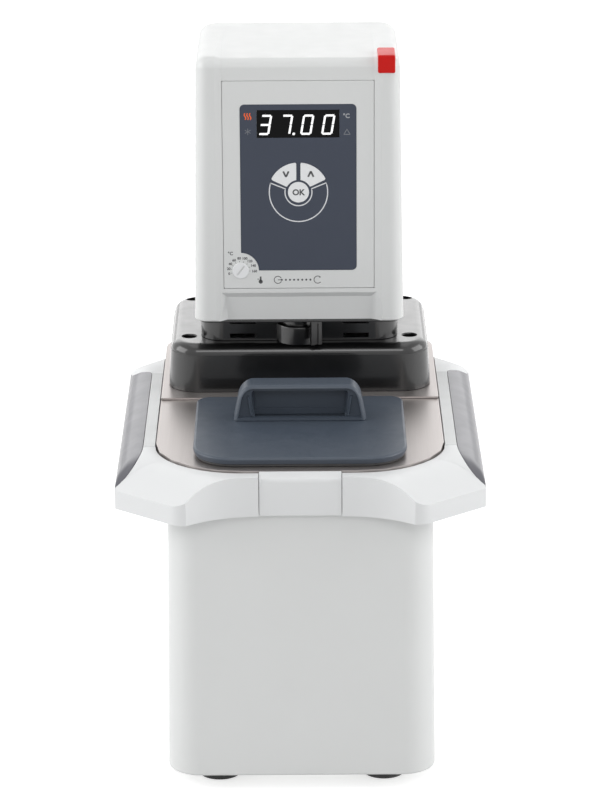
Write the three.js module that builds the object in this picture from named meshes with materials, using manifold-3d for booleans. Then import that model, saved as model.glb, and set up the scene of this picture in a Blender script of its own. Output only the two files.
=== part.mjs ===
// A circulating water bath: an insulated steel tank in a white casing, a rim with side grips, a lid,
// and a head on a black bridge that holds the pump, the heater, the sensors and the controls.
// Millimetres. X points right, Y points to the rear and Z points up, with the floor at Z = 0.

import * as THREE from "three";
import { mergeVertices } from "three/addons/utils/BufferGeometryUtils.js";
import Module from "manifold-3d";

const wasm = await Module();
wasm.setup();

// Clearances
const seatGap = 0.3; // between pieces that rest on each other or slip together
const inlayGap = 0.15; // round thin inlays on the panel
const runningGap = 0.5; // round pieces that turn or slide
const overrun = 10; // how far a cut runs past the surface it opens

// The rim is the widest part
const rimWidth = 240;

// Feet and casing
const footHeight = 10;
const footRadius = 14;
const footBevel = 1.5;
const footInsetX = 31.5;
const footInsetY = 28;
const casingSetback = 34; // from the side of the rim to the side of the casing
const casingWidth = rimWidth - casingSetback * 2;
const casingFront = -138;
const casingBack = 152;
const casingCornerRadius = 20;
const casingWall = 1.2;
const casingFlare = 2.1; // the foot of the casing is this much wider on each side
const panThickness = 2;

// Rim: two halves round the tank, with a short insert between them at the front and at the rear
const rimHeight = 26.5;
const rimSideFrontSetback = 11; // from the front of the casing to the front end of the rim's side
const rimSideFront = casingFront + rimSideFrontSetback;
const rimSideBackSetback = 21;
const rimSideBack = casingBack - rimSideBackSetback;
const rimFrontCornerWidth = 40.8; // of the cut corner, seen from the front
const rimFrontPointX = rimWidth / 2 - rimFrontCornerWidth;
const rimFrontReach = 24; // in front of the casing
const rimFrontPointY = casingFront - rimFrontReach;
const rimInsertHalfWidth = 26.9;
const rimInsertReach = 6.4; // in front of the casing
const rimInsertFront = casingFront - rimInsertReach;
const rimFrontRound = 6;
const rimBackCornerWidth = 36;
const rimBackPointX = rimWidth / 2 - rimBackCornerWidth;
const rimBackReach = 20; // behind the casing
const rimBack = casingBack + rimBackReach;
const rimSlopeDrop = 14; // the corners slope down by this much
const rimSlopeReach = 35; // over this distance from their edge, where they are steepest
const rimSlopeSteps = 4;
const rimLedge = 4;
const rimInnerWidth = casingWidth - rimLedge * 2;
const insertSetback = 1;
const insertBevel = 3;

// Grips on both sides of the rim
const gripWidth = 17;
const gripInnerX = rimWidth / 2 - gripWidth;
const gripFrontSetback = 43.5; // of its inner edge, from the front end of the rim's side
const gripFront = rimSideFront + gripFrontSetback;
const gripBackSetback = 46;
const gripBack = rimSideBack - gripBackSetback;
const gripLedge = 3;

// Tank with its deck plate, and the insulation round it
const rimTop = 218.6;
const deckMargin = 8.2; // from the grips
const deckWidth = (gripInnerX - deckMargin) * 2;
const deckFrontSetback = 7.4; // behind the front of the casing
const deckFront = casingFront + deckFrontSetback;
const deckBackSetback = 2;
const deckBack = casingBack - deckBackSetback;
const deckFrontRadius = 58;
const deckBackRadius = 20;
const deckFold = 6;
const sheet = 1.5;
const insulationThickness = 14;
const wellWidth = casingWidth - insulationThickness * 2;
const wellFrontSetback = 16; // behind the front of the casing
const wellFront = casingFront + wellFrontSetback;
const wellBack = casingBack - insulationThickness;
const wellCornerRadius = 25;
const wellDepth = 186;
const lidOverlap = 6; // of the lid over the edge of the tank's mouth
const pumpHoleRadius = 20;
const pumpHoleMargin = 9; // inside the well on each side
const pumpHoleWidth = wellWidth - pumpHoleMargin * 2;
const pumpHoleFront = 34;
const pumpHoleBack = 132;
const coverFront = 22.3;
const coverReach = 14; // behind the casing
const coverBack = casingBack + coverReach;
const coverSheet = 1.2;

// Drain
const drainHeight = 14; // above the tank floor
const drainRadius = 7;
const drainBore = 4;
const drainFlange = 11;
const drainFlangeThickness = 2;
const drainReach = 16; // out of the casing
const capWall = 2.2;
const capLength = 13;

// Lid, with its seal and its handle
const lidMargin = 2.2; // inside the well on each side
const lidWidth = wellWidth - lidMargin * 2;
const lidFront = -124.2;
const lidBack = 9.5;
const lidFrontRadius = 27;
const lidBackRadius = 10;
const lidTopRise = 6.6; // above the deck
const lidThickness = 4.6;
const lidEdgeRound = 1.8;
const lidLipInset = 8;
const lidLipWall = 2;
const lidLipDepth = 4;
const sealInset = 1.6;
const sealWidth = 4;
const handleBaseWidth = 88;
const handleTopWidth = 78;
const handleFront = -46.8;
const handleBack = -29;
const handleRise = 25;
const handleCornerRadius = 9;
const handleBar = 4;
const windowBottomWidth = 62.8;
const windowTopWidth = 66.4;
const handleRail = 3.5;
const handleSkin = 2.4; // closes the handle behind the fingers
const windowCornerRadius = 2.5;

// Bridge over the rear of the tank, with its four screws
const bridgeMargin = 4.5; // inside the deck on each side
const bridgeWidth = deckWidth - bridgeMargin * 2;
const bridgeFront = 35;
const bridgeBack = 168;
const bridgeRise = 34.4; // above the deck
const bridgeCornerRadius = 21;
const bridgeDraft = 1.8;
const bridgeRound = 7;
const bridgeWall = 3;
const bridgeScrewInset = 14.5; // from the side of the bridge
const bridgeScrewX = bridgeWidth / 2 - bridgeScrewInset;
const bridgeScrewFrontY = 60.3;
const bridgeScrewBackY = 155;
const screwHeadRadius = 4.2;
const screwHeadHeight = 4;
const screwShankRadius = 2;
const screwGrip = 4; // under the head
const screwDepth = 5; // below the deck
const screwPillarRadius = 7;
const screwWellRadius = 4.75;

// Neck between the bridge and the head
const headWidth = 141;
const neckMargin = 2.7; // inside the head on each side
const neckWidth = headWidth - neckMargin * 2;
const neckFront = 48;
const neckBack = 140;
const neckCornerRadius = 16;
const neckHeight = 22.4;
const neckWall = 3;
const slotInnerX = 30;
const slotOuterX = 47.6;
const slotHeight = 3.2;
const slotLowZ = 1.7;
const slotHighZ = 11.7;
const bossRadius = 17.5;
const bossY = 62;
const bossHeight = 11;

// Flow lever and the shaft that it turns
const hubRadius = 13.4;
const leverHeight = 9.8;
const leverArmThickness = 4.4;
const leverArmWidth = 7;
const leverReach = 34;
const leverTabWidth = 7.4;
const leverTabThickness = 3.4;
const leverTabGroove = 1;
const leverTabDrop = 19.4;
const leverRestDegrees = 19.3;
const diverterRadius = 3;
const diverterDepth = 112;
const diverterDiscRadius = 9;
const diverterDiscHeight = 4;

// Head
const headFront = 9;
const headDepth = 136;
const headHeight = 184.2;
const headFrontRadius = 9;
const headBackRadius = 14;
const headRound = 5;
const headSideDraft = 3.6; // each side leans in by this much up to the top
const headTopSlope_share = 0.03; // the top falls to the rear by this share of the depth
const headWall = 3;
const headFrontWall = 6;
const channelHalfWidth = 50.9;
const channelDepth = 1.3;
const channelBackInset = 30;
const chinHeight = 23.4;
const chinDepth = 1.6;
const headBaseThickness = 3;

// Rear cover of the head
const backCoverHalfWidth = 54;
const backCoverBottomInset = 14;
const backCoverHeight = 140;
const backCoverThickness = 3;
const ventCount = 7;
const ventHalfWidth = 38;
const ventHeight = 3;
const ventPitch = 9;

// Control panel on the front of the head
const panelBottomRise = 25.6; // above the underside of the head
const panelHeight = 142.4;
const panelThickness = 2.5;
const panelSideGap = 0.4;
const foilHalfWidth = 38.8;
const foilBottomRise = 12.4; // above the lower edge of the panel
const foilHeight = 114.1;
const foilThickness = 0.6;
const foilRadius = 2.4;
const foilNotchRadius = 12.3;
const displayHalfWidth = 27.5;
const displayBottomRise = 91.4; // above the lower edge of the foil
const displayHeight = 18.8;
const displayWindowThickness = 2;
const keyCentreRise = 54.1; // above the lower edge of the foil
const okKeyRadius = 7.1;
const wedgeInnerRadius = 9.35;
const wedgeOuterRadius = 20.2;
const wedgeHalfGap = 1.4;
const wedgeLowDegrees = 25.6;
const keyProud = 0.5;
const keyTravel = 0.5;

// Safety dial and the limiter that it sets
const dialX = -39.2;
const dialRadius = 5.5;
const dialDepth = 7;
const dialProud = 0.6;
const dialSlotWidth = 1;
const dialSlotDepth = 0.7;
const dialSlotDegrees = 52;
const limiterRadius = 6;
const limiterDepth = 8;

// Mains switch over the upper front edge of the head
const switchInset = 11.7; // from the side of the head to the middle of the switch
const switchX = headWidth / 2 - switchInset;
const switchWidth = 11.6;
const switchDrop = 11.2; // its lower edge below the top of the head
const switchApexRise = 0.2; // above the top of the head
const switchBackRise = 1.2;
const switchReach = 24;
const switchProud = 0.9;
const switchThickness = 4.2;
const switchPivotBack = 6; // behind the front of the head
const switchPivotDrop = 3; // below the top of the head
const switchRockDegrees = 4;
const switchBodyDepth = 14;
const switchBodyHeight = 20;
const switchBodyInset = 3.2; // clear of the side wall

// Boards in the head
const boardThickness = 1.6;
const controlBoardHeight = 118;
const controlBoardSetback = 16;
const boardPostRadius = 3;
const powerBoardWidth = 100;
const powerBoardHeight = 52;
const powerBoardRise = 88;
const powerBoardSetback = 4.8; // in front of the rear cover

// Pump: its motor in the head, its shaft and its housing in the tank
const pumpY = 96;
const motorRadius = 29;
const motorHeight = 74;
const motorFlangeRadius = 34;
const motorFlangeThickness = 4;
const shaftRadius = 4;
const shaftTopRise = 12; // above the motor
const fanRadius = 26;
const fanHubRadius = 8;
const fanHeight = 7;
const fanBladeCount = 6;
const fanBladeThickness = 1.6;
const columnRadius = 9;
const columnBore = 5.5;
const voluteRadius = 26;
const voluteHeight = 26;
const voluteWall = 3;
const voluteClearance = 36; // over the tank floor
const voluteDepth = wellDepth - voluteClearance; // its underside below the deck
const voluteInlet = 10;
const impellerRadius = 19;
const impellerHeight = 12;
const impellerBladeCount = 5;
const impellerBladeThickness = 2;
const impellerDiscThickness = 2.5;

// Heater, sensors and float in the rear of the tank
const heaterRadius = 4.2;
const heaterClearance = 16; // over the tank floor
const heaterDepth = wellDepth - heaterClearance;
const heaterMargin = 13; // inside the pump's hole on each side
const heaterHalfWidth = pumpHoleWidth / 2 - heaterMargin;
const heaterFront = 50;
const heaterBack = 124;
const heaterReturnY = 76;
const heaterBend = 12;
const heaterRise = 14;
const probeRise = 16;
const temperatureProbeInset = 1;
const temperatureProbeX = heaterHalfWidth - temperatureProbeInset;
const temperatureProbeY = 92;
const temperatureProbeRadius = 3;
const temperatureProbeDepth = 140;
const safetyProbeInset = 16; // from the side of the heater
const safetyProbeX = heaterHalfWidth - safetyProbeInset;
const safetyProbeY = 60;
const safetyProbeRadius = 4;
const safetyProbeDepth = 148;
const probeHeadRadius = 7;
const probeHeadHeight = 5;
const probeTip_share = 0.9; // of the probe's radius
const floatPlace_share = 0.54; // of the way from the middle to the heater
const floatX = -heaterHalfWidth * floatPlace_share;
const floatY = 70;
const floatRadius = 9;
const floatHeight = 15;
const guideRadius = 2;
const guideStopRadius = 5;
const guideStopHeight = 3;
const guideDepth = 86;

// Pump nozzles at the rear of the bridge, with their caps
const nozzleX = 32;
const nozzleRise = 17; // above the deck
const nozzleRadius = 8;
const nozzleBore = 4.5;
const nozzleLegY = 120;
const nozzleReach = 20;
const nozzleCollarRadius = 11;
const nozzleCollarThickness = 2.5;
const supplyLegDepth = 118;
const returnLegDepth = 60;

// Sockets on the rear cover of the head
const inletX = -32;
const inletRise = 30; // above the underside of the head
const inletWidth = 30;
const inletHeight = 22;
const inletDepth = 22;
const inletFlange = 3;
const inletFlangeThickness = 2;
const inletRecess = 18;
const inletWall = 2.5;
const inletPinLength = 11;
const inletPinWidth = 2;
const inletPinHeight = 4;
const inletPinPitch = 7;
const socketX = 28;
const socketRadius = 8;
const socketDepth = 10;
const socketFlangeRadius = 10;
const socketGroove = 1;

// Steps round curves
const cornerSteps = 5;
const roundSteps = 4;
const turnedSteps = 16;
const heaterSteps = 40;

// Levels that follow from the sizes above
const rimBottom = rimTop - rimHeight;
const casingTop = rimTop - deckFold - seatGap - rimLedge - seatGap;
const panBottom = footHeight + seatGap;
const wellFloor = rimTop - wellDepth;
const coverTop = rimTop + seatGap + coverSheet;
const bridgeBottom = coverTop + seatGap;
const bridgeTop = rimTop + bridgeRise;
const neckBottom = bridgeTop + seatGap;
const neckTop = bridgeTop + neckHeight - seatGap;
const headBottom = bridgeTop + neckHeight;
const headTop = headBottom + headHeight;
const headBack = headFront + headDepth;
const panelFront = headFront + channelDepth;
const panelBottom = headBottom + panelBottomRise;
const panelTop = panelBottom + panelHeight;
const foilBottom = panelBottom + foilBottomRise;
const foilTop = foilBottom + foilHeight;
const keyZ = foilBottom + keyCentreRise;
const dialZ = foilBottom;
const leverTop = headBottom - runningGap;
const leverBottom = leverTop - leverHeight;
const motorBottom = headBottom + headBaseThickness + seatGap;
const motorTop = motorBottom + motorHeight;
const voluteBottom = rimTop - voluteDepth;
const voluteTop = voluteBottom + voluteHeight;
const nozzleZ = rimTop + nozzleRise;
const drainZ = wellFloor + drainHeight;

// Materials, with colours near those of the real piece
const finish = (color, roughness, metalness) =>
  new THREE.MeshStandardMaterial({ color, roughness, metalness });
const whitePaint = finish(0xe9ebec, 0.45, 0);
const whitePlastic = finish(0xe3e5e7, 0.5, 0);
const greyPlastic = finish(0xd6d8d8, 0.5, 0);
const gripPlastic = finish(0x55585d, 0.35, 0);
const slatePlastic = finish(0x47525f, 0.45, 0);
const blackPlastic = finish(0x17181a, 0.45, 0);
const foilPlastic = finish(0x4a5560, 0.4, 0);
const keyPlastic = finish(0xf0f1f2, 0.5, 0);
const redPlastic = finish(0xc8201c, 0.4, 0);
const smokedPlastic = finish(0x0b0c0d, 0.15, 0);
const sealRubber = finish(0x202224, 0.8, 0);
const steel = finish(0xc4c2be, 0.3, 1);
const brass = finish(0xb49a5c, 0.4, 1);
const castMetal = finish(0x6d7073, 0.6, 0.6);
const boardGreen = finish(0x1f5a38, 0.6, 0);
const wool = finish(0xb9b29c, 0.95, 0);

const bath = new THREE.Group();

// A closed geometry as a solid that can be joined and cut.
function solid(geometry) {
  const bare = geometry.clone();
  bare.deleteAttribute("normal");
  bare.deleteAttribute("uv");
  const merged = mergeVertices(bare);
  const corners = merged.index.array;
  const kept = [];
  for (let i = 0; i < corners.length; i += 3) {
    const [a, b, c] = corners.slice(i, i + 3);
    if (a !== b && b !== c && c !== a) kept.push(a, b, c);
  }
  const mesh = { numProp: 3, vertProperties: merged.attributes.position.array, triVerts: new Uint32Array(kept) };
  return new wasm.Manifold(new wasm.Mesh(mesh));
}

// A solid as a named mesh of the bath.
function place(name, form, material) {
  const mesh = form.getMesh();
  const geometry = new THREE.BufferGeometry()
    .setAttribute("position", new THREE.BufferAttribute(mesh.vertProperties, 3))
    .setIndex(new THREE.BufferAttribute(mesh.triVerts, 1));
  geometry.computeVertexNormals();
  const piece = new THREE.Mesh(geometry, material);
  piece.name = name;
  bath.add(piece);
}

const joined = (first, ...others) => others.reduce((whole, next) => whole.add(next), first);
const without = (first, ...others) => others.reduce((whole, next) => whole.subtract(next), first);

// The plan of a box with rounded corners, drawn in by an inset, anticlockwise from the front left.
function plan(box, inset = 0) {
  const { left, right, front, back, frontRadius, backRadius = frontRadius } = box;
  const least = Math.min(frontRadius, backRadius) / cornerSteps ** 2;
  const ends = [
    [left, front, frontRadius, 1, 1],
    [right, front, frontRadius, -1, 1],
    [right, back, backRadius, -1, -1],
    [left, back, backRadius, 1, -1],
  ];
  const points = [];
  ends.forEach(([x, y, radius, toRight, toBack], corner) => {
    const round = Math.max(radius - inset, least);
    const centreX = x + toRight * (inset + round);
    const centreY = y + toBack * (inset + round);
    for (let step = 0; step <= cornerSteps; step++) {
      const angle = Math.PI + (corner + step / cornerSteps) * (Math.PI / 2);
      points.push(new THREE.Vector2(centreX + round * Math.cos(angle), centreY + round * Math.sin(angle)));
    }
  });
  return points;
}

// A closed skin over outlines of equal length, lowest first; a level is a height or a rule that gives one.
function stack(layers) {
  const count = layers[0].outline.length;
  const positions = [];
  for (const { outline, level } of layers)
    for (const point of outline)
      positions.push(point.x, point.y, typeof level === "function" ? level(point) : level);
  const index = [];
  for (let ring = 0; ring + 1 < layers.length; ring++)
    for (let i = 0; i < count; i++) {
      const a = ring * count + i;
      const b = ring * count + ((i + 1) % count);
      index.push(a, b, b + count, a, b + count, a + count);
    }
  const last = (layers.length - 1) * count;
  for (const [a, b, c] of THREE.ShapeUtils.triangulateShape(layers[0].outline, [])) index.push(a, c, b);
  for (const [a, b, c] of THREE.ShapeUtils.triangulateShape(layers.at(-1).outline, []))
    index.push(last + a, last + b, last + c);
  const geometry = new THREE.BufferGeometry()
    .setAttribute("position", new THREE.Float32BufferAttribute(positions, 3))
    .setIndex(index);
  return solid(geometry);
}

// A rounded box that follows levels of [height, inset].
const block = (box, levels) =>
  stack(levels.map(([level, inset]) => ({ outline: plan(box, inset), level })));

// A rounded box of one plan between two heights.
const slab = (box, bottom, top, inset = 0) => block(box, [[bottom, inset], [top, inset]]);

// The levels of a rounded upper edge that starts at an inset.
function roundedEdge(top, radius, inset = 0) {
  const levels = [];
  for (let step = 0; step <= roundSteps; step++) {
    const angle = (step / roundSteps) * (Math.PI / 2);
    levels.push([top - radius + radius * Math.sin(angle), inset + radius * (1 - Math.cos(angle))]);
  }
  return levels;
}

// A plain box between two corners.
function bar([x0, y0, z0], [x1, y1, z1]) {
  const box = new THREE.BoxGeometry(x1 - x0, y1 - y0, z1 - z0);
  return solid(box.translate((x0 + x1) / 2, (y0 + y1) / 2, (z0 + z1) / 2));
}

// A turned piece about a vertical axis: [radius, height] points, upwards from the axis back to the axis.
function turned(x, y, profile, steps = turnedSteps) {
  const points = profile.map(([radius, height]) => new THREE.Vector2(radius, height));
  return solid(new THREE.LatheGeometry(points, steps).rotateX(Math.PI / 2).translate(x, y, 0));
}

// A round bar along Z, or along Y from front to back.
const rod = (x, y, bottom, top, radius, steps = turnedSteps) =>
  turned(x, y, [[0, bottom], [radius, bottom], [radius, top], [0, top]], steps);
function rodBack(x, z, front, back, radius, steps = turnedSteps) {
  const cylinder = new THREE.CylinderGeometry(radius, radius, back - front, steps);
  return solid(cylinder.translate(x, (front + back) / 2, z));
}

// A flat shape drawn in X and Z, seen from the front, and carried back in Y from one depth to another.
function seenFromFront(shape, front, back) {
  const options = { depth: back - front, bevelEnabled: false, curveSegments: cornerSteps };
  return solid(new THREE.ExtrudeGeometry(shape, options).rotateX(Math.PI / 2).translate(0, back, 0));
}

// A flat shape drawn in Y and Z, seen from the right, and carried in X from one place to another.
function seenFromRight(shape, left, right) {
  const options = { depth: right - left, bevelEnabled: false, curveSegments: cornerSteps };
  const body = new THREE.ExtrudeGeometry(shape, options).rotateX(Math.PI / 2).rotateZ(Math.PI / 2);
  return solid(body.translate(left, 0, 0));
}

const shapeOf = (points) => new THREE.Shape(points.map(([x, y]) => new THREE.Vector2(x, y)));

// A flat outline seen from above, between two heights.
const sheetOf = (points, bottom, top) => {
  const outline = points.map(([x, y]) => new THREE.Vector2(x, y));
  return stack([{ outline, level: bottom }, { outline, level: top }]);
};

const mirrored = (form) => form.mirror([1, 0, 0]);

// Feet and base pan
const casingBox = {
  left: -casingWidth / 2,
  right: casingWidth / 2,
  front: casingFront,
  back: casingBack,
  frontRadius: casingCornerRadius,
};
const footPlaces = [
  ["foot_front_left", casingBox.left + footInsetX, casingFront + footInsetY],
  ["foot_front_right", casingBox.right - footInsetX, casingFront + footInsetY],
  ["foot_rear_left", casingBox.left + footInsetX, casingBack - footInsetY],
  ["foot_rear_right", casingBox.right - footInsetX, casingBack - footInsetY],
];
for (const [name, x, y] of footPlaces) {
  const profile = [
    [0, 0],
    [footRadius - footBevel, 0],
    [footRadius, footBevel],
    [footRadius, footHeight],
    [0, footHeight],
  ];
  place(name, turned(x, y, profile), sealRubber);
}

// The casing's tapering outline between two heights, drawn in by an inset.
function casingForm(inset, bottom, top) {
  const flareAt = (level) => (casingFlare * (casingTop - level)) / (casingTop - footHeight);
  return block(casingBox, [[bottom, inset - flareAt(bottom)], [top, inset - flareAt(top)]]);
}
place("base_pan", casingForm(casingWall + seatGap, panBottom, panBottom + panThickness), castMetal);

// Casing, with a hole for the drain
const drainHole = rodBack(0, drainZ, wellBack - overrun, casingBack + overrun, drainRadius + seatGap);
const casing = without(
  casingForm(0, footHeight, casingTop),
  casingForm(casingWall, footHeight - overrun, casingTop + overrun),
  drainHole,
);
place("casing", casing, whitePaint);

// Tank: a deck plate with a folded edge, and the well under it
const deckBox = {
  left: -deckWidth / 2,
  right: deckWidth / 2,
  front: deckFront,
  back: deckBack,
  frontRadius: deckFrontRadius,
  backRadius: deckBackRadius,
};
const wellBox = {
  left: -wellWidth / 2,
  right: wellWidth / 2,
  front: wellFront,
  back: wellBack,
  frontRadius: wellCornerRadius,
};
const lidBox = {
  left: -lidWidth / 2,
  right: lidWidth / 2,
  front: lidFront,
  back: lidBack,
  frontRadius: lidFrontRadius,
  backRadius: lidBackRadius,
};
const pumpHoleBox = {
  left: -pumpHoleWidth / 2,
  right: pumpHoleWidth / 2,
  front: pumpHoleFront,
  back: pumpHoleBack,
  frontRadius: pumpHoleRadius,
};
const screwPlaces = [];
for (const x of [-bridgeScrewX, bridgeScrewX])
  for (const y of [bridgeScrewFrontY, bridgeScrewBackY]) screwPlaces.push([x, y]);
const screwBores = screwPlaces.map(([x, y]) =>
  rod(x, y, rimTop - screwDepth - seatGap, coverTop + overrun, screwShankRadius + seatGap, cornerSteps * 2),
);
const deck = without(
  slab(deckBox, rimTop - deckFold, rimTop),
  slab(deckBox, rimTop - deckFold - overrun, rimTop - sheet, sheet),
);
const well = slab(wellBox, wellFloor - sheet, rimTop - sheet / 2, -sheet);
const tank = without(
  joined(deck, well),
  slab(wellBox, wellFloor, rimTop - sheet),
  slab(lidBox, rimTop - sheet * 2, rimTop + overrun, lidOverlap),
  slab(pumpHoleBox, rimTop - sheet * 2, rimTop + overrun),
  drainHole,
  ...screwBores,
);
place("tank", tank, steel);

// Insulation between the tank and the casing
const insulation = without(
  casingForm(casingWall + seatGap, panBottom + panThickness + seatGap, casingTop - rimLedge),
  slab(wellBox, wellFloor - sheet - seatGap, rimTop, -sheet - seatGap),
  drainHole,
);
place("tank_insulation", insulation, wool);

// Drain spout through the tank wall, with its cap
const spoutFront = wellBack - drainFlangeThickness - seatGap;
const spoutBack = casingBack + drainReach;
const drainSpout = without(
  joined(
    rodBack(0, drainZ, spoutFront, spoutBack, drainRadius),
    rodBack(0, drainZ, spoutFront, spoutFront + drainFlangeThickness, drainFlange),
  ),
  rodBack(0, drainZ, spoutFront - overrun, spoutBack + overrun, drainBore),
);
place("drain_spout", drainSpout, steel);

// A screw cap over a spout that ends at a depth: a cup with a ribbed rim.
function screwCap(x, z, spoutEnd, spoutRadius) {
  const inner = spoutRadius + runningGap;
  const back = spoutEnd + runningGap + capWall;
  const ribs = cornerSteps * 2;
  const shape = new THREE.Shape();
  for (let i = 0; i < ribs * 2; i++) {
    const radius = inner + (i % 2 ? capWall : capWall / 2);
    const angle = (i / ribs) * Math.PI;
    const point = [x + radius * Math.cos(angle), z + radius * Math.sin(angle)];
    if (i) shape.lineTo(...point);
    else shape.moveTo(...point);
  }
  const cup = seenFromFront(shape, back - capLength, back);
  return without(cup, rodBack(x, z, back - capLength - overrun, back - capWall, inner));
}
place("drain_cap", screwCap(0, drainZ, spoutBack, drainRadius), blackPlastic);

// Rim: an outline with a scooped front and cut corners
const rimSideX = rimWidth / 2;
const scoop = new THREE.QuadraticBezierCurve(
  new THREE.Vector2(rimFrontPointX - rimFrontRound, rimFrontPointY),
  new THREE.Vector2((rimFrontPointX + rimInsertHalfWidth) / 2, rimInsertFront),
  new THREE.Vector2(rimInsertHalfWidth, rimInsertFront),
);
const chamferRun = Math.hypot(rimSideX - rimFrontPointX, rimSideFront - rimFrontPointY);
const frontRight = [
  ...scoop.getPoints(cornerSteps).reverse().map((point) => [point.x, point.y]),
  [
    rimFrontPointX + (rimFrontRound * (rimSideX - rimFrontPointX)) / chamferRun,
    rimFrontPointY + (rimFrontRound * (rimSideFront - rimFrontPointY)) / chamferRun,
  ],
  [rimSideX, rimSideFront],
];
const rightSide = [...frontRight, [rimSideX, rimSideBack], [rimBackPointX, rimBack]];
const rimOutline = [...rightSide, ...rightSide.map(([x, y]) => [-x, y]).reverse()];

// What a corner's slope cuts away, from one end of its edge to the other.
function cornerSlope([x0, y0], [x1, y1]) {
  const curve = [];
  for (let step = 0; step <= rimSlopeSteps; step++) {
    const share = step / rimSlopeSteps;
    curve.push([rimSlopeReach * share, -rimSlopeDrop * (1 - share) ** 2]);
  }
  const section = shapeOf([
    [-rimWidth, -rimSlopeDrop],
    ...curve,
    [rimSlopeReach, overrun],
    [-rimWidth, overrun],
  ]);
  const length = rimWidth * 2;
  const wedge = new THREE.ExtrudeGeometry(section, { depth: length, bevelEnabled: false })
    .translate(0, 0, -length / 2)
    .rotateX(Math.PI / 2)
    .rotateZ(Math.atan2(y1 - y0, x1 - x0) + Math.PI / 2)
    .translate(x0, y0, rimTop);
  return solid(wedge);
}
const frontSlope = cornerSlope([rimFrontPointX, rimFrontPointY], [rimSideX, rimSideFront]);
const backSlope = cornerSlope([rimSideX, rimSideBack], [rimBackPointX, rimBack]);

const rimInnerBox = {
  ...casingBox,
  left: -rimInnerWidth / 2,
  right: rimInnerWidth / 2,
  front: casingFront + (casingWidth - rimInnerWidth) / 2,
  back: casingBack - (casingWidth - rimInnerWidth) / 2,
};
const deckSeat = slab(deckBox, rimTop - deckFold - seatGap, rimTop + overrun, -seatGap);
const casingSeat = slab(casingBox, rimBottom - overrun, casingTop + seatGap, -seatGap);
const rimRing = without(
  sheetOf(rimOutline, rimBottom, rimTop),
  deckSeat,
  casingSeat,
  slab(rimInnerBox, rimBottom, rimTop - deckFold),
  ...screwBores,
);
const slopedRing = without(rimRing, frontSlope, mirrored(frontSlope), backSlope, mirrored(backSlope));

// Grips: a convex bar along each side, with its ends cut by the rim's corners
function gripPlan(gap) {
  const run = rimSideX - gripInnerX;
  const endAt = (x, innerY, outerY) => {
    const slant = (outerY - innerY) / run;
    const away = Math.sign(outerY) * gap * Math.hypot(1, slant);
    return [x, innerY + (x - gripInnerX) * slant + away];
  };
  return [
    endAt(gripInnerX - gap, gripFront, rimSideFront),
    endAt(rimSideX + gap, gripFront, rimSideFront),
    endAt(rimSideX + gap, gripBack, rimSideBack),
    endAt(gripInnerX - gap, gripBack, rimSideBack),
  ];
}
const gripBottom = rimBottom + gripLedge;
const gripSection = new THREE.Shape();
gripSection.moveTo(gripInnerX, gripBottom);
gripSection.lineTo(rimSideX, gripBottom);
gripSection.lineTo(rimSideX, rimTop - rimSlopeDrop);
gripSection.absellipse(gripInnerX, rimTop - rimSlopeDrop, rimSideX - gripInnerX, rimSlopeDrop, 0, Math.PI / 2);
const gripRight = seenFromFront(gripSection, rimSideFront, rimSideBack).intersect(
  sheetOf(gripPlan(0), rimBottom, rimTop + overrun),
);
const gripSeat = sheetOf(gripPlan(seatGap), gripBottom - seatGap, rimTop + overrun);
place("grip_right", gripRight, gripPlastic);
place("grip_left", mirrored(gripRight), gripPlastic);

const rimRight = without(
  slopedRing.intersect(
    bar([rimInsertHalfWidth, rimFrontPointY - overrun, rimBottom], [rimWidth, rimBack + overrun, rimTop]),
  ),
  gripSeat,
);
place("rim_right", rimRight, whitePlastic);
place("rim_left", mirrored(rimRight), whitePlastic);

// Inserts between the rim halves: the front one stands back a little and has a bevelled upper edge
const insertHalf = rimInsertHalfWidth - seatGap;
const frontBevel = seenFromRight(
  shapeOf([
    [rimInsertFront - overrun, rimTop - insertBevel - overrun],
    [rimInsertFront + insertSetback + insertBevel + overrun, rimTop + overrun],
    [rimInsertFront - overrun, rimTop + overrun],
  ]),
  -rimWidth,
  rimWidth,
);
const frontInsert = without(
  rimRing.intersect(bar([-insertHalf, rimInsertFront + insertSetback, rimBottom], [insertHalf, 0, rimTop])),
  frontBevel,
);
place("rim_front_insert", frontInsert, whitePlastic);
const backInsert = rimRing.intersect(bar([-insertHalf, 0, rimBottom], [insertHalf, rimBack - insertSetback, rimTop]));
place("rim_rear_insert", backInsert, whitePlastic);

// Cover plate over the rear of the deck, with holes for what hangs from it
const coverBox = { ...deckBox, front: coverFront, back: coverBack, frontRadius: sheet };
const probePlaces = {
  temperature_sensor: [temperatureProbeX, temperatureProbeY, temperatureProbeRadius, temperatureProbeDepth],
  safety_sensor: [safetyProbeX, safetyProbeY, safetyProbeRadius, safetyProbeDepth],
};
const through = (x, y, radius) => rod(x, y, rimTop - overrun, coverTop + overrun, radius);
const coverHoles = [
  through(0, pumpY, shaftRadius + runningGap),
  through(0, bossY, diverterRadius + runningGap),
  through(-heaterHalfWidth, heaterFront, heaterRadius + seatGap),
  through(-heaterHalfWidth, heaterReturnY, heaterRadius + seatGap),
  through(-nozzleX, nozzleLegY, nozzleRadius + seatGap),
  through(nozzleX, nozzleLegY, nozzleRadius + seatGap),
  through(floatX, floatY, guideRadius + seatGap),
  ...Object.values(probePlaces).map(([x, y, radius]) => through(x, y, radius + seatGap)),
];
place("rear_cover_plate", without(slab(coverBox, rimTop + seatGap, coverTop), ...coverHoles, ...screwBores), steel);

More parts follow.
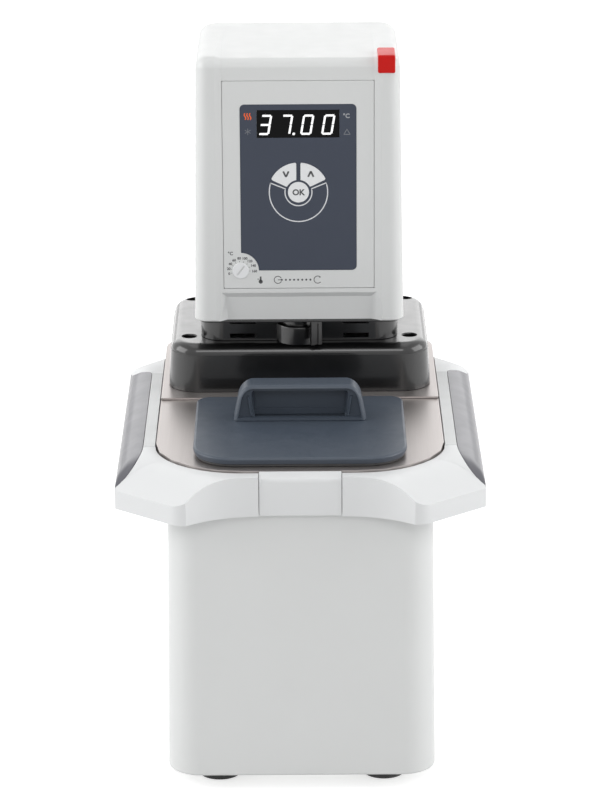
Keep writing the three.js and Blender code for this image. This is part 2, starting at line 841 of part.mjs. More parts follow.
// Bridge: a hollow black cover with four screw pillars
const bridgeBox = {
  left: -bridgeWidth / 2,
  right: bridgeWidth / 2,
  front: bridgeFront,
  back: bridgeBack,
  frontRadius: bridgeCornerRadius,
};
const bridgeShell = without(
  block(bridgeBox, [[bridgeBottom, 0], ...roundedEdge(bridgeTop, bridgeRound, bridgeDraft)]),
  block(bridgeBox, [
    [bridgeBottom - overrun, bridgeWall],
    [bridgeTop - bridgeRound, bridgeWall + bridgeDraft],
    [bridgeTop - bridgeWall, bridgeRound + bridgeDraft],
  ]),
);
const pillars = screwPlaces.map(([x, y]) => rod(x, y, bridgeBottom, bridgeTop - bridgeWall / 2, screwPillarRadius));
const pillarBores = screwPlaces.flatMap(([x, y]) => [
  rod(x, y, bridgeBottom + screwGrip, bridgeTop + overrun, screwWellRadius),
  rod(x, y, bridgeBottom - overrun, bridgeTop, screwShankRadius + seatGap, cornerSteps * 2),
]);
const nozzleXs = [-nozzleX, nozzleX];
const bridgeBlank = block(bridgeBox, [[bridgeBottom, 0], ...roundedEdge(bridgeTop, bridgeRound, bridgeDraft)]);
const bridge = without(
  joined(bridgeShell, ...pillars.map((pillar) => pillar.intersect(bridgeBlank))),
  ...pillarBores,
  rod(0, pumpY, bridgeTop - overrun, bridgeTop + overrun, shaftRadius * 2),
  rod(0, bossY, bridgeTop - overrun, bridgeTop + overrun, diverterRadius + runningGap),
  ...nozzleXs.map((x) => rodBack(x, nozzleZ, bridgeBack - overrun, bridgeBack + overrun, nozzleRadius + seatGap)),
);
place("bridge", bridge, blackPlastic);

screwPlaces.forEach(([x, y]) => {
  const seat = bridgeBottom + screwGrip + seatGap;
  const screw = joined(
    rod(x, y, seat, seat + screwHeadHeight, screwHeadRadius),
    rod(x, y, rimTop - screwDepth, seat + screwHeadHeight / 2, screwShankRadius, cornerSteps * 2),
  );
  const socket = rod(x, y, seat + screwHeadHeight / 2, seat + overrun, screwShankRadius, cornerSteps);
  const name = `bridge_screw_${y < pumpY ? "front" : "rear"}_${x < 0 ? "left" : "right"}`;
  place(name, screw.subtract(socket), steel);
});

// Neck: a collar with vent slots and a boss for the lever
const neckBox = {
  left: -neckWidth / 2,
  right: neckWidth / 2,
  front: neckFront,
  back: neckBack,
  frontRadius: neckCornerRadius,
};
const bossTop = neckBottom + bossHeight;
const neckSlots = [];
for (const side of [-1, 1])
  for (const rise of [slotLowZ, slotHighZ]) {
    const [low, high] = [side * slotInnerX, side * slotOuterX].sort((a, b) => a - b);
    neckSlots.push(
      bar([low, neckFront - overrun, neckBottom + rise], [high, neckFront + overrun, neckBottom + rise + slotHeight]),
    );
  }
const hubPocket = hubRadius + runningGap * 2;
const neck = without(
  joined(
    without(slab(neckBox, neckBottom, neckTop), slab(neckBox, neckBottom - overrun, neckTop + overrun, neckWall)),
    rod(0, bossY, neckBottom, bossTop, bossRadius),
  ),
  ...neckSlots,
  bar([-hubPocket, neckFront - overrun, bossTop], [hubPocket, neckFront + overrun, neckTop + overrun]),
  rod(0, bossY, neckBottom - overrun, neckTop, diverterRadius + runningGap),
);
place("neck", neck, blackPlastic);

// Flow lever: a hub under the head, an arm and a tab that hangs in front
const atLeverAngle = (form) =>
  form.translate([0, -bossY, 0]).rotate([0, 0, leverRestDegrees]).translate([0, bossY, 0]);
const tabFront = bossY - leverReach - leverTabThickness / 2;
const tabBack = tabFront + leverTabThickness;
const leverBlank = joined(
  rod(0, bossY, leverBottom, leverTop, hubRadius),
  bar([-leverArmWidth / 2, tabFront, leverTop - leverArmThickness], [leverArmWidth / 2, bossY, leverTop]),
  bar([-leverTabWidth / 2, tabFront, leverTop - leverTabDrop], [leverTabWidth / 2, tabBack, leverTop]),
);
const leverForm = without(
  leverBlank,
  bar(
    [-leverTabWidth / 6, tabFront - overrun, leverTop - leverTabDrop - overrun],
    [leverTabWidth / 6, tabFront + leverTabGroove, leverTop - leverArmThickness],
  ),
  rod(0, bossY, leverBottom - overrun, leverBottom + leverHeight / 2, diverterRadius + seatGap),
);
place("flow_lever", atLeverAngle(leverForm), blackPlastic);
const diverterBottom = rimTop - diverterDepth;
const diverter = turned(0, bossY, [
  [0, diverterBottom],
  [diverterDiscRadius, diverterBottom],
  [diverterDiscRadius, diverterBottom + diverterDiscHeight],
  [diverterRadius, diverterBottom + diverterDiscHeight],
  [diverterRadius, leverBottom + leverHeight / 2 - seatGap],
  [0, leverBottom + leverHeight / 2 - seatGap],
]);
place("diverter_shaft", diverter, steel);

// Head housing: a hollow with a rounded, slightly falling top and a shallow channel over its middle
const headBox = {
  left: -headWidth / 2,
  right: headWidth / 2,
  front: headFront,
  back: headBack,
  frontRadius: headFrontRadius,
  backRadius: headBackRadius,
};
const headTopBox = { ...headBox, left: headBox.left + headSideDraft, right: headBox.right - headSideDraft };
function headForm(inset, bottom) {
  const layers = [{ outline: plan(headBox, inset), level: bottom }];
  for (const [level, draw] of roundedEdge(headTop - inset, headRound, inset)) {
    const fallen = (point) => level - (point.y - headFront) * headTopSlope_share;
    layers.push({ outline: plan(headTopBox, draw), level: fallen });
  }
  return stack(layers);
}
const channelSide = channelHalfWidth;
const channelCut = without(
  bar(
    [-channelSide, headFront - overrun, headBottom - overrun],
    [channelSide, headBack - channelBackInset, headTop + overrun],
  ),
  headForm(channelDepth, headBottom - overrun * 2),
);
const chinCut = seenFromRight(
  shapeOf([
    [headFront - overrun, headBottom - overrun],
    [panelFront + chinDepth, headBottom - overrun],
    [panelFront + chinDepth, headBottom],
    [panelFront, headBottom + chinHeight],
    [headFront - overrun, headBottom + chinHeight],
  ]),
  -channelSide,
  channelSide,
);
const headHollow = headForm(headWall, headBottom - overrun).intersect(
  bar([-headWidth, headFront + headFrontWall, headBottom - overrun], [headWidth, headBack, headTop]),
);
const panelBack = panelFront + panelThickness;
const panelPocket = bar(
  [-channelSide, headFront - overrun, panelBottom - panelSideGap],
  [channelSide, panelBack + seatGap, panelTop + panelSideGap],
);
const panelWindow = bar(
  [dialX - dialRadius - runningGap, headFront, dialZ - dialRadius - runningGap],
  [foilHalfWidth, headFront + headFrontWall + overrun, foilTop],
);
const backCoverBottom = headBottom + backCoverBottomInset;
const backCoverTop = backCoverBottom + backCoverHeight;
const backOpening = bar(
  [-backCoverHalfWidth, headBack - headWall - overrun, backCoverBottom],
  [backCoverHalfWidth, headBack + overrun, backCoverTop],
);

// The rocker's profile, seen from the right, drawn out by a gap
const rockerBottom = headTop - switchDrop;
const rockerProfile = (gap) =>
  shapeOf([
    [headFront - switchProud - gap, rockerBottom - gap],
    [headFront + switchThickness + gap, rockerBottom - gap],
    [headFront + switchThickness + gap, headTop + switchApexRise - switchThickness - gap],
    [headFront + switchReach + gap, headTop + switchBackRise - switchThickness - gap],
    [headFront + switchReach + gap, headTop + switchBackRise + gap],
    [headFront - switchProud - gap, headTop + switchApexRise + gap],
  ]);
const rockerLeft = switchX - switchWidth / 2;
const rockerRight = switchX + switchWidth / 2;
const rockerPivot = [0, headFront + switchPivotBack, headTop - switchPivotDrop];
const rockerSpace = seenFromRight(rockerProfile(runningGap), rockerLeft - runningGap, rockerRight + runningGap);
const rockedSpace = rockerSpace
  .translate(rockerPivot.map((place) => -place))
  .rotate([-switchRockDegrees, 0, 0])
  .translate(rockerPivot);
const rockerPocket = rockerSpace.add(rockedSpace);

// Posts that carry the control board
const boardFront = headFront + controlBoardSetback;
const boardBottom = panelBottom + (panelHeight - controlBoardHeight) / 2;
const boardTop = boardBottom + controlBoardHeight;
const postXs = [-channelSide + boardPostRadius, channelSide - boardPostRadius];
const boardEdge = boardPostRadius * 2;
const postFront = headFront + headFrontWall / 2 + panelThickness;
const posts = postXs.flatMap((x) =>
  [boardBottom + boardEdge, boardTop - boardEdge].map((z) =>
    rodBack(x, z, postFront, boardFront - seatGap, boardPostRadius, cornerSteps * 2),
  ),
);
const headHousing = without(
  joined(
    without(headForm(0, headBottom), channelCut, chinCut, headHollow, panelPocket, panelWindow),
    ...posts,
  ),
  backOpening,
  rockerPocket,
);
place("head_housing", headHousing, greyPlastic);

// Base plate of the head
const headBase = without(
  slab(
    { ...headBox, front: headFront + headFrontWall + seatGap - headWall },
    headBottom,
    headBottom + headBaseThickness,
    headWall + seatGap,
  ),
  rod(0, pumpY, headBottom - overrun, headTop, shaftRadius + runningGap),
);
place("head_base", headBase, blackPlastic);

// Rear cover with vents and the two sockets
const backCoverFront = headBack - backCoverThickness;
const inletZ = headBottom + inletRise;
const ventBottom = inletZ + inletHeight;
const vents = [];
for (let i = 0; i < ventCount; i++) {
  const z = ventBottom + i * ventPitch;
  vents.push(bar([-ventHalfWidth, backCoverFront - overrun, z], [ventHalfWidth, headBack + overrun, z + ventHeight]));
}
const inletBody = bar(
  [inletX - inletWidth / 2, headBack - inletDepth, inletZ - inletHeight / 2],
  [inletX + inletWidth / 2, headBack + seatGap * 2, inletZ + inletHeight / 2],
);
const inletHole = bar(
  [inletX - inletWidth / 2 - seatGap, headBack - overrun, inletZ - inletHeight / 2 - seatGap],
  [inletX + inletWidth / 2 + seatGap, headBack + overrun, inletZ + inletHeight / 2 + seatGap],
);
const powerBoardBottom = headBottom + powerBoardRise;
const powerBoardBack = backCoverFront - powerBoardSetback;
const powerPosts = [];
for (const x of [boardEdge - powerBoardWidth / 2, powerBoardWidth / 2 - boardEdge])
  for (const z of [powerBoardBottom + boardEdge, powerBoardBottom + powerBoardHeight - boardEdge])
    powerPosts.push(rodBack(x, z, powerBoardBack + seatGap, headBack - seatGap, boardPostRadius, cornerSteps * 2));
const backCover = without(
  joined(
    bar(
      [-backCoverHalfWidth + seatGap, backCoverFront, backCoverBottom + seatGap],
      [backCoverHalfWidth - seatGap, headBack, backCoverTop - seatGap],
    ),
    ...powerPosts,
  ),
  ...vents,
  inletHole,
  rodBack(socketX, inletZ, headBack - overrun, headBack + overrun, socketRadius + seatGap),
);
place("head_rear_cover", backCover, greyPlastic);

const inletFlangeFront = headBack + seatGap;
const inletFlangeBack = inletFlangeFront + inletFlangeThickness;
const inletShell = without(
  joined(
    inletBody,
    bar(
      [inletX - inletWidth / 2 - inletFlange, inletFlangeFront, inletZ - inletHeight / 2 - inletFlange],
      [inletX + inletWidth / 2 + inletFlange, inletFlangeBack, inletZ + inletHeight / 2 + inletFlange],
    ),
  ),
  bar(
    [inletX - inletWidth / 2 + inletWall, inletFlangeBack - inletRecess, inletZ - inletHeight / 2 + inletWall],
    [inletX + inletWidth / 2 - inletWall, inletFlangeBack + overrun, inletZ + inletHeight / 2 - inletWall],
  ),
);
const inletFloor = inletFlangeBack - inletRecess;
const pins = [-inletPinPitch, 0, inletPinPitch].map((x) =>
  bar(
    [inletX + x - inletPinWidth / 2, inletFloor - inletWall / 2, inletZ - inletPinHeight / 2],
    [inletX + x + inletPinWidth / 2, inletFloor + inletPinLength, inletZ + inletPinHeight / 2],
  ),
);
place("mains_inlet", joined(inletShell, ...pins), blackPlastic);

const socketBack = inletFlangeBack;
const interfaceSocket = without(
  joined(
    rodBack(socketX, inletZ, headBack - socketDepth, socketBack, socketRadius),
    rodBack(socketX, inletZ, inletFlangeFront, socketBack, socketFlangeRadius),
  ),
  rodBack(socketX, inletZ, socketBack - socketGroove, socketBack + overrun, socketRadius - capWall),
);
place("interface_socket", interfaceSocket, blackPlastic);

// Keys: a round one, and two wedges over it, which reach back to the control board
const okKeyShape = (gap) => new THREE.Shape().absarc(0, keyZ, okKeyRadius + gap, 0, Math.PI * 2);
function wedgeShape(side, gap) {
  const outer = wedgeOuterRadius + gap;
  const inner = wedgeInnerRadius - gap;
  const low = THREE.MathUtils.degToRad(wedgeLowDegrees);
  const angleAt = (radius) => [low - Math.asin(gap / radius), Math.acos((wedgeHalfGap - gap) / radius)];
  const points = [];
  const sweep = (radius, reverse) => {
    const [from, to] = angleAt(radius);
    for (let step = 0; step <= cornerSteps; step++) {
      const part = reverse ? 1 - step / cornerSteps : step / cornerSteps;
      const angle = from + (to - from) * part;
      points.push([side * radius * Math.cos(angle), keyZ + radius * Math.sin(angle)]);
    }
  };
  sweep(outer, false);
  sweep(inner, true);
  return shapeOf(points);
}
const keyShapes = {
  key_ok: okKeyShape,
  key_up: (gap) => wedgeShape(1, gap),
  key_down: (gap) => wedgeShape(-1, gap),
};
const keyHoles = Object.values(keyShapes).map((shape) =>
  seenFromFront(shape(inlayGap * 2), headFront - overrun, headFront + overrun),
);
const keyBack = boardFront - keyTravel - seatGap;
for (const [name, shape] of Object.entries(keyShapes))
  place(name, seenFromFront(shape(0), panelFront - keyProud, keyBack), keyPlastic);

// Display window and the module behind it
const displayBottom = foilBottom + displayBottomRise;
const displayBar = (gap, front, back) =>
  bar(
    [-displayHalfWidth - gap, front, displayBottom - gap],
    [displayHalfWidth + gap, back, displayBottom + displayHeight + gap],
  );
const displayHole = displayBar(inlayGap, headFront - overrun, headFront + overrun);
const windowFront = panelFront + inlayGap;
place("display_window", displayBar(0, windowFront, windowFront + displayWindowThickness), smokedPlastic);
const moduleFront = windowFront + displayWindowThickness + seatGap;
const moduleBack = boardFront - seatGap;
place("display_module", displayBar(-seatGap, moduleFront, moduleBack), blackPlastic);

// Foil with a notch round the dial, in a shallow bed of the panel
function foilShape(gap) {
  const outline = plan({
    left: -foilHalfWidth - gap,
    right: foilHalfWidth + gap,
    front: foilBottom - gap,
    back: foilTop + gap,
    frontRadius: foilRadius,
  });
  return new THREE.Shape(outline);
}
const dialHole = rodBack(dialX, dialZ, headFront - overrun, headFront + overrun, dialRadius + runningGap);
const foilNotch = (gap) => rodBack(dialX, dialZ, headFront - overrun, headFront + overrun, foilNotchRadius - gap);
const foilFront = panelFront + inlayGap;
const foilBack = foilFront + foilThickness;
const foil = without(seenFromFront(foilShape(0), foilFront, foilBack), foilNotch(0), displayHole, ...keyHoles);
place("keypad_foil", foil, foilPlastic);
const foilBed = seenFromFront(foilShape(inlayGap), panelFront - overrun, foilBack + inlayGap).subtract(
  foilNotch(inlayGap),
);
const panelHalf = channelHalfWidth - panelSideGap;
const panel = without(
  bar([-panelHalf, panelFront, panelBottom], [panelHalf, panelBack, panelTop]),
  foilBed,
  displayHole,
  dialHole,
  ...keyHoles,
);
place("control_panel", panel, greyPlastic);

// Safety dial with its slot, and the limiter behind it
const dialFront = panelFront - dialProud;
const dialSlot = bar(
  [-dialRadius + dialSlotWidth, dialFront - overrun, -dialSlotWidth / 2],
  [dialRadius - dialSlotWidth, dialFront + dialSlotDepth, dialSlotWidth / 2],
)
  .rotate([0, -dialSlotDegrees, 0])
  .translate([dialX, 0, dialZ]);
const dial = rodBack(dialX, dialZ, dialFront, dialFront + dialDepth, dialRadius).subtract(dialSlot);
place("safety_dial", dial, keyPlastic);
const limiterFront = dialFront + dialDepth + seatGap;
place(
  "safety_limiter",
  rodBack(dialX, dialZ, limiterFront, Math.min(limiterFront + limiterDepth, boardFront - seatGap), limiterRadius),
  castMetal,
);

// Mains switch: a rocker over the upper front edge, and its body behind
place("mains_switch", seenFromRight(rockerProfile(0), rockerLeft, rockerRight), redPlastic);
const switchBodyFront = headFront + headFrontWall + seatGap;
const switchBodyTop = headTop + switchApexRise - switchThickness * 2;
const switchBody = bar(
  [rockerLeft, switchBodyFront, switchBodyTop - switchBodyHeight],
  [rockerRight - switchBodyInset, switchBodyFront + switchBodyDepth, switchBodyTop],
);
place("switch_body", switchBody, blackPlastic);

// Boards
const controlBoard = bar(
  [-channelSide, boardFront, boardBottom],
  [channelSide, boardFront + boardThickness, boardTop],
);
place("control_board", controlBoard, boardGreen);
const powerBoard = bar(
  [-powerBoardWidth / 2, powerBoardBack - boardThickness, powerBoardBottom],
  [powerBoardWidth / 2, powerBoardBack, powerBoardBottom + powerBoardHeight],
);
place("power_board", powerBoard, boardGreen);

// Motor, shaft, fan and impeller
const motor = without(
  joined(
    rod(0, pumpY, motorBottom, motorTop, motorRadius),
    rod(0, pumpY, motorBottom, motorBottom + motorFlangeThickness, motorFlangeRadius),
  ),
  rod(0, pumpY, motorBottom - overrun, motorTop + overrun, shaftRadius + runningGap),
);
place("motor", motor, castMetal);
const voluteFloor = voluteBottom + voluteWall;
const impellerBottom = voluteFloor + (voluteHeight - voluteWall * 2 - impellerHeight) / 2;
const impellerTop = impellerBottom + impellerHeight;
const shaftTop = motorTop + shaftTopRise;
place("pump_shaft", rod(0, pumpY, impellerBottom, shaftTop, shaftRadius), steel);

// A hub with blades, bored for the shaft.
function bladed(hub, tip, bottom, top, count, thickness) {
  const blades = [];
  for (let i = 0; i < count; i++) {
    const blade = bar([0, -thickness / 2, bottom], [tip, thickness / 2, top]);
    blades.push(blade.rotate([0, 0, (i * 360) / count]).translate([0, pumpY, 0]));
  }
  return without(
    joined(rod(0, pumpY, bottom, top, hub), ...blades),
    rod(0, pumpY, bottom - overrun, top + overrun, shaftRadius + seatGap),
  );
}
const fanTop = shaftTop - seatGap;
const fan = bladed(fanHubRadius, fanRadius, fanTop - fanHeight, fanTop, fanBladeCount, fanBladeThickness);
place("cooling_fan", fan, blackPlastic);
const impeller = joined(
  bladed(fanHubRadius, impellerRadius, impellerBottom, impellerTop, impellerBladeCount, impellerBladeThickness),
  without(
    rod(0, pumpY, impellerTop - impellerDiscThickness, impellerTop, impellerRadius),
    rod(0, pumpY, impellerBottom, impellerTop + overrun, shaftRadius + seatGap),
  ),
);
place("impeller", impeller, brass);

// Pump housing: a volute on a column that hangs from the cover plate
const ductRadius = nozzleBore + voluteWall / 2;
const duct = (radius, reach) => {
  const length = Math.hypot(nozzleX, nozzleLegY - pumpY) - reach;
  const tube = rodBack(0, voluteBottom + voluteHeight / 2, 0, length, radius, cornerSteps * 2);
  const angle = THREE.MathUtils.radToDeg(Math.atan2(nozzleLegY - pumpY, nozzleX)) - 90;
  return tube.rotate([0, 0, angle]).translate([0, pumpY, 0]);
};
const pumpHousing = without(
  joined(
    rod(0, pumpY, voluteBottom, voluteTop, voluteRadius),
    rod(0, pumpY, voluteTop - voluteWall, rimTop, columnRadius),
    duct(ductRadius, nozzleRadius + seatGap),
  ),
  rod(0, pumpY, voluteFloor, voluteTop - voluteWall, voluteRadius - voluteWall),
  rod(0, pumpY, voluteFloor, rimTop + overrun, columnBore),
  rod(0, pumpY, voluteBottom - overrun, voluteFloor + seatGap, voluteInlet),
  duct(nozzleBore, 0),
);
place("pump_housing", pumpHousing, blackPlastic);

// Heater: one tube down, round the floor of the tank, and up again
const heaterZ = rimTop - heaterDepth;
const heaterTop = rimTop + heaterRise;
const heaterCorners = [
  [-heaterHalfWidth, heaterFront, heaterTop],
  [-heaterHalfWidth, heaterFront, heaterZ],
  [heaterHalfWidth, heaterFront, heaterZ],
  [heaterHalfWidth, heaterBack, heaterZ],
  [-heaterHalfWidth, heaterBack, heaterZ],
  [-heaterHalfWidth, heaterReturnY, heaterZ],
  [-heaterHalfWidth, heaterReturnY, heaterTop],
].map((point) => new THREE.Vector3(...point));
const heaterPath = new THREE.CurvePath();
let heaterFrom = heaterCorners[0];
for (let i = 1; i + 1 < heaterCorners.length; i++) {
  const corner = heaterCorners[i];
  const before = corner.clone().add(heaterCorners[i - 1].clone().sub(corner).setLength(heaterBend));
  const after = corner.clone().add(heaterCorners[i + 1].clone().sub(corner).setLength(heaterBend));
  heaterPath.add(new THREE.LineCurve3(heaterFrom, before));
  heaterPath.add(new THREE.QuadraticBezierCurve3(before, corner, after));
  heaterFrom = after;
}
heaterPath.add(new THREE.LineCurve3(heaterFrom, heaterCorners.at(-1)));
const heaterSection = new THREE.Shape().absarc(0, 0, heaterRadius, 0, Math.PI * 2);
const heater = new THREE.ExtrudeGeometry(heaterSection, {
  steps: heaterSteps,
  extrudePath: heaterPath,
  bevelEnabled: false,
  curveSegments: roundSteps,
});
place("heater_coil", solid(heater), steel);

// Sensors and the float guide, hung from the cover plate by their heads
function hanging(x, y, radius, depth, endRadius, endHeight) {
  const bottom = rimTop - depth;
  return turned(x, y, [
    [0, bottom],
    [endRadius, bottom],
    [endRadius, bottom + endHeight],
    [radius, bottom + endHeight],
    [radius, coverTop + seatGap],
    [probeHeadRadius, coverTop + seatGap],
    [probeHeadRadius, coverTop + seatGap + probeHeadHeight],
    [radius, coverTop + seatGap + probeHeadHeight],
    [radius, rimTop + probeRise],
    [0, rimTop + probeRise],
  ], cornerSteps * 2);
}
for (const [name, [x, y, radius, depth]] of Object.entries(probePlaces))
  place(name, hanging(x, y, radius, depth, radius * probeTip_share, radius), steel);
place("float_guide", hanging(floatX, floatY, guideRadius, guideDepth, guideStopRadius, guideStopHeight), steel);
const floatBottom = rimTop - guideDepth + guideStopHeight + seatGap;
const levelFloat = without(
  rod(floatX, floatY, floatBottom, floatBottom + floatHeight, floatRadius),
  rod(floatX, floatY, floatBottom - overrun, floatBottom + floatHeight + overrun, guideRadius + runningGap),
);
place("level_float", levelFloat, whitePlastic);

// Nozzles: a spigot out of the rear of the bridge, and a leg down into the tank
const nozzleEnd = bridgeBack + nozzleReach;
function nozzle(x, depth) {
  const legBottom = rimTop - depth;
  return without(
    joined(
      rodBack(x, nozzleZ, nozzleLegY, nozzleEnd, nozzleRadius),
      rodBack(x, nozzleZ, bridgeBack + seatGap, bridgeBack + seatGap + nozzleCollarThickness, nozzleCollarRadius),
      rod(x, nozzleLegY, legBottom, nozzleZ, nozzleRadius),
    ),
    rodBack(x, nozzleZ, nozzleLegY, nozzleEnd + overrun, nozzleBore),
    rod(x, nozzleLegY, legBottom - overrun, nozzleZ, nozzleBore),
  );
}
place("supply_nozzle", nozzle(nozzleX, supplyLegDepth), steel);
place("return_nozzle", nozzle(-nozzleX, returnLegDepth), steel);
place("supply_cap", screwCap(nozzleX, nozzleZ, nozzleEnd, nozzleRadius), blackPlastic);
place("return_cap", screwCap(-nozzleX, nozzleZ, nozzleEnd, nozzleRadius), blackPlastic);

// Lid with a lip that finds the mouth of the tank, its seal and its handle
const lidTop = rimTop + lidTopRise;
const lidBottom = lidTop - lidThickness;
const lipBottom = rimTop - lidLipDepth;
const lip = without(
  slab(lidBox, lipBottom, lidBottom + lidEdgeRound, lidLipInset),
  slab(lidBox, lipBottom - overrun, lidBottom, lidLipInset + lidLipWall),
);
place("lid", joined(block(lidBox, [[lidBottom, 0], ...roundedEdge(lidTop, lidEdgeRound)]), lip), slatePlastic);
const seal = without(
  slab(lidBox, rimTop + seatGap, lidBottom - seatGap, sealInset),
  slab(lidBox, rimTop - overrun, lidTop, sealInset + sealWidth),
);
place("lid_gasket", seal, sealRubber);

// A bridge-shaped outline: leaning legs under rounded upper corners.
function archOutline(bottomHalf, topHalf, bottom, top, radius) {
  const shape = new THREE.Shape();
  const lean = (bottomHalf - topHalf) / (top - bottom);
  shape.moveTo(-bottomHalf, bottom);
  shape.lineTo(bottomHalf, bottom);
  shape.lineTo(topHalf + lean * radius, top - radius);
  shape.quadraticCurveTo(topHalf, top, topHalf - radius, top);
  shape.lineTo(radius - topHalf, top);
  shape.quadraticCurveTo(-topHalf, top, -topHalf - lean * radius, top - radius);
  shape.lineTo(-bottomHalf, bottom);
  return shape;
}
const handleBottom = lidTop + seatGap;
const handleTop = lidTop + handleRise;
const handleOutline = archOutline(
  handleBaseWidth / 2,
  handleTopWidth / 2,
  handleBottom,
  handleTop,
  handleCornerRadius,
);
const handleWindow = archOutline(
  windowBottomWidth / 2,
  windowTopWidth / 2,
  handleBottom + handleRail,
  handleTop - handleBar,
  windowCornerRadius,
);
const handle = seenFromFront(handleOutline, handleFront, handleBack).subtract(
  seenFromFront(handleWindow, handleFront - overrun, handleBack - handleSkin),
);
place("lid_handle", handle, slatePlastic);

// The middle of the bath's length stands at Y = 0
const rearmost = nozzleEnd + runningGap + capWall;
bath.position.y = -(rimFrontPointY + rearmost) / 2;

export default bath;
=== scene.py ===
import math
import bmesh
import bpy
from mathutils import Matrix, Vector


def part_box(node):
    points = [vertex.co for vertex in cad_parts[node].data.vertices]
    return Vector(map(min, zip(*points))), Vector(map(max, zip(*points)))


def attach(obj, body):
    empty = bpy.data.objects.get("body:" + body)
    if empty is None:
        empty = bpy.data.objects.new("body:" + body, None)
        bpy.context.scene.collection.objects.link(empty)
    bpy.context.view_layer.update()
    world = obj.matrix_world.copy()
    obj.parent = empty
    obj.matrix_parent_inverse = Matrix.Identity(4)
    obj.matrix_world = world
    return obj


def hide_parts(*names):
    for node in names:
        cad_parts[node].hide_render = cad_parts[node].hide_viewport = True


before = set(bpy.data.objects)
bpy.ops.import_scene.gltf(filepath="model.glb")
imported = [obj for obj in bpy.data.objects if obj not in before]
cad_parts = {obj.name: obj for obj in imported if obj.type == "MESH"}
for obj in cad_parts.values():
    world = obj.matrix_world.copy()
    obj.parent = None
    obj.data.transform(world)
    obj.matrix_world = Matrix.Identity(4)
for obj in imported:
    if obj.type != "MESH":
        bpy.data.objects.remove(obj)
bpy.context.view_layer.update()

# The studio.
# A pale floor that fades to white, large soft lamps on both sides and behind, and weaker ones
# above and in front. The camera stands well back and looks down on the bath.
scene = bpy.context.scene
scene.view_settings.view_transform = "Standard"


def set_inputs(node, values):
    """Gives a shader node's named inputs their values."""
    for label, value in values.items():
        node.inputs[label].default_value = value


def seen_or_not(tree, seen_value, other_value):
    """One value for what is seen, also in metal or through glass, and another for other light."""
    path = tree.nodes.new("ShaderNodeLightPath")
    seen = path.outputs["Is Camera Ray"]
    for kind in ("Is Glossy Ray", "Is Transmission Ray"):
        either = tree.nodes.new("ShaderNodeMath")
        either.operation = "MAXIMUM"
        tree.links.new(seen, either.inputs[0])
        tree.links.new(path.outputs[kind], either.inputs[1])
        seen = either.outputs[0]
    choice = tree.nodes.new("ShaderNodeMapRange")
    set_inputs(choice, {"To Min": other_value, "To Max": seen_value})
    tree.links.new(seen, choice.inputs["Value"])
    return choice.outputs["Result"]


floor_size = 40.0
floor_light = 0.62
floor_bm = bmesh.new()
bmesh.ops.create_grid(floor_bm, x_segments=1, y_segments=1, size=floor_size / 2)
floor_mesh = bpy.data.meshes.new("studio_floor")
floor_bm.to_mesh(floor_mesh)
floor_bm.free()
floor = bpy.data.objects.new("studio_floor", floor_mesh)
scene.collection.objects.link(floor)
floor_finish = bpy.data.materials.new("pale floor")
floor_finish.use_nodes = True
floor_tree = floor_finish.node_tree
floor_paint = floor_tree.nodes["Principled BSDF"]
set_inputs(floor_paint, {"Base Color": (0.62, 0.62, 0.62, 1), "Roughness": 0.9, "Specular IOR Level": 0.0})
floor_glow = floor_tree.nodes.new("ShaderNodeEmission")
set_inputs(floor_glow, {"Color": (1, 1, 1, 1)})
floor_tree.links.new(seen_or_not(floor_tree, floor_light, 0.0), floor_glow.inputs["Strength"])
floor_sum = floor_tree.nodes.new("ShaderNodeAddShader")
floor_tree.links.new(floor_paint.outputs[0], floor_sum.inputs[0])
floor_tree.links.new(floor_glow.outputs[0], floor_sum.inputs[1])
floor_tree.links.new(floor_sum.outputs[0], floor_tree.nodes["Material Output"].inputs["Surface"])
floor_mesh.materials.append(floor_finish)

room_light = 0.55
world = bpy.data.worlds.new("studio")
world.use_nodes = True
scene.world = world
backdrop = world.node_tree.nodes["Background"]
set_inputs(backdrop, {"Color": (1, 1, 1, 1)})
world.node_tree.links.new(seen_or_not(world.node_tree, 1.0, room_light), backdrop.inputs["Strength"])

bath_middle = Vector((0.0, 0.0, 0.23))


def soft_lamp(name, place, width, height, watts):
    """A large rectangular studio lamp that faces the middle of the bath."""
    lamp = bpy.data.lights.new(name, "AREA")
    lamp.shape = "RECTANGLE"
    lamp.size = width
    lamp.size_y = height
    lamp.energy = watts
    stand = bpy.data.objects.new(name, lamp)
    stand.location = place
    stand.rotation_euler = (bath_middle - Vector(place)).to_track_quat("-Z", "Y").to_euler()
    stand.visible_camera = False
    scene.collection.objects.link(stand)


soft_lamp("left lamp", (-1.9, -0.2, 0.9), 1.8, 1.4, 24)
soft_lamp("right lamp", (1.9, -0.2, 0.9), 1.8, 1.4, 22)
soft_lamp("top lamp", (0.0, 0.1, 2.2), 1.6, 1.6, 5)
soft_lamp("back lamp", (0.0, 2.4, 1.15), 3.2, 1.5, 13)
soft_lamp("front lamp", (0.0, -2.8, 1.9), 1.4, 1.0, 13)

camera_place = (0.00014, -2.39105, 0.9728)
camera_pitch = math.radians(90 - 17.462)
camera_roll = math.radians(-0.362)
camera_lens = bpy.data.cameras.new("camera")
camera_lens.sensor_fit = "AUTO"
camera_lens.sensor_width = 36
camera_lens.lens = 165.6
camera_lens.clip_end = 60
camera = bpy.data.objects.new("camera", camera_lens)
turn = Matrix.Rotation(camera_pitch, 4, "X") @ Matrix.Rotation(camera_roll, 4, "Z")
camera.matrix_world = Matrix.Translation(camera_place) @ turn
scene.collection.objects.link(camera)
scene.camera = camera

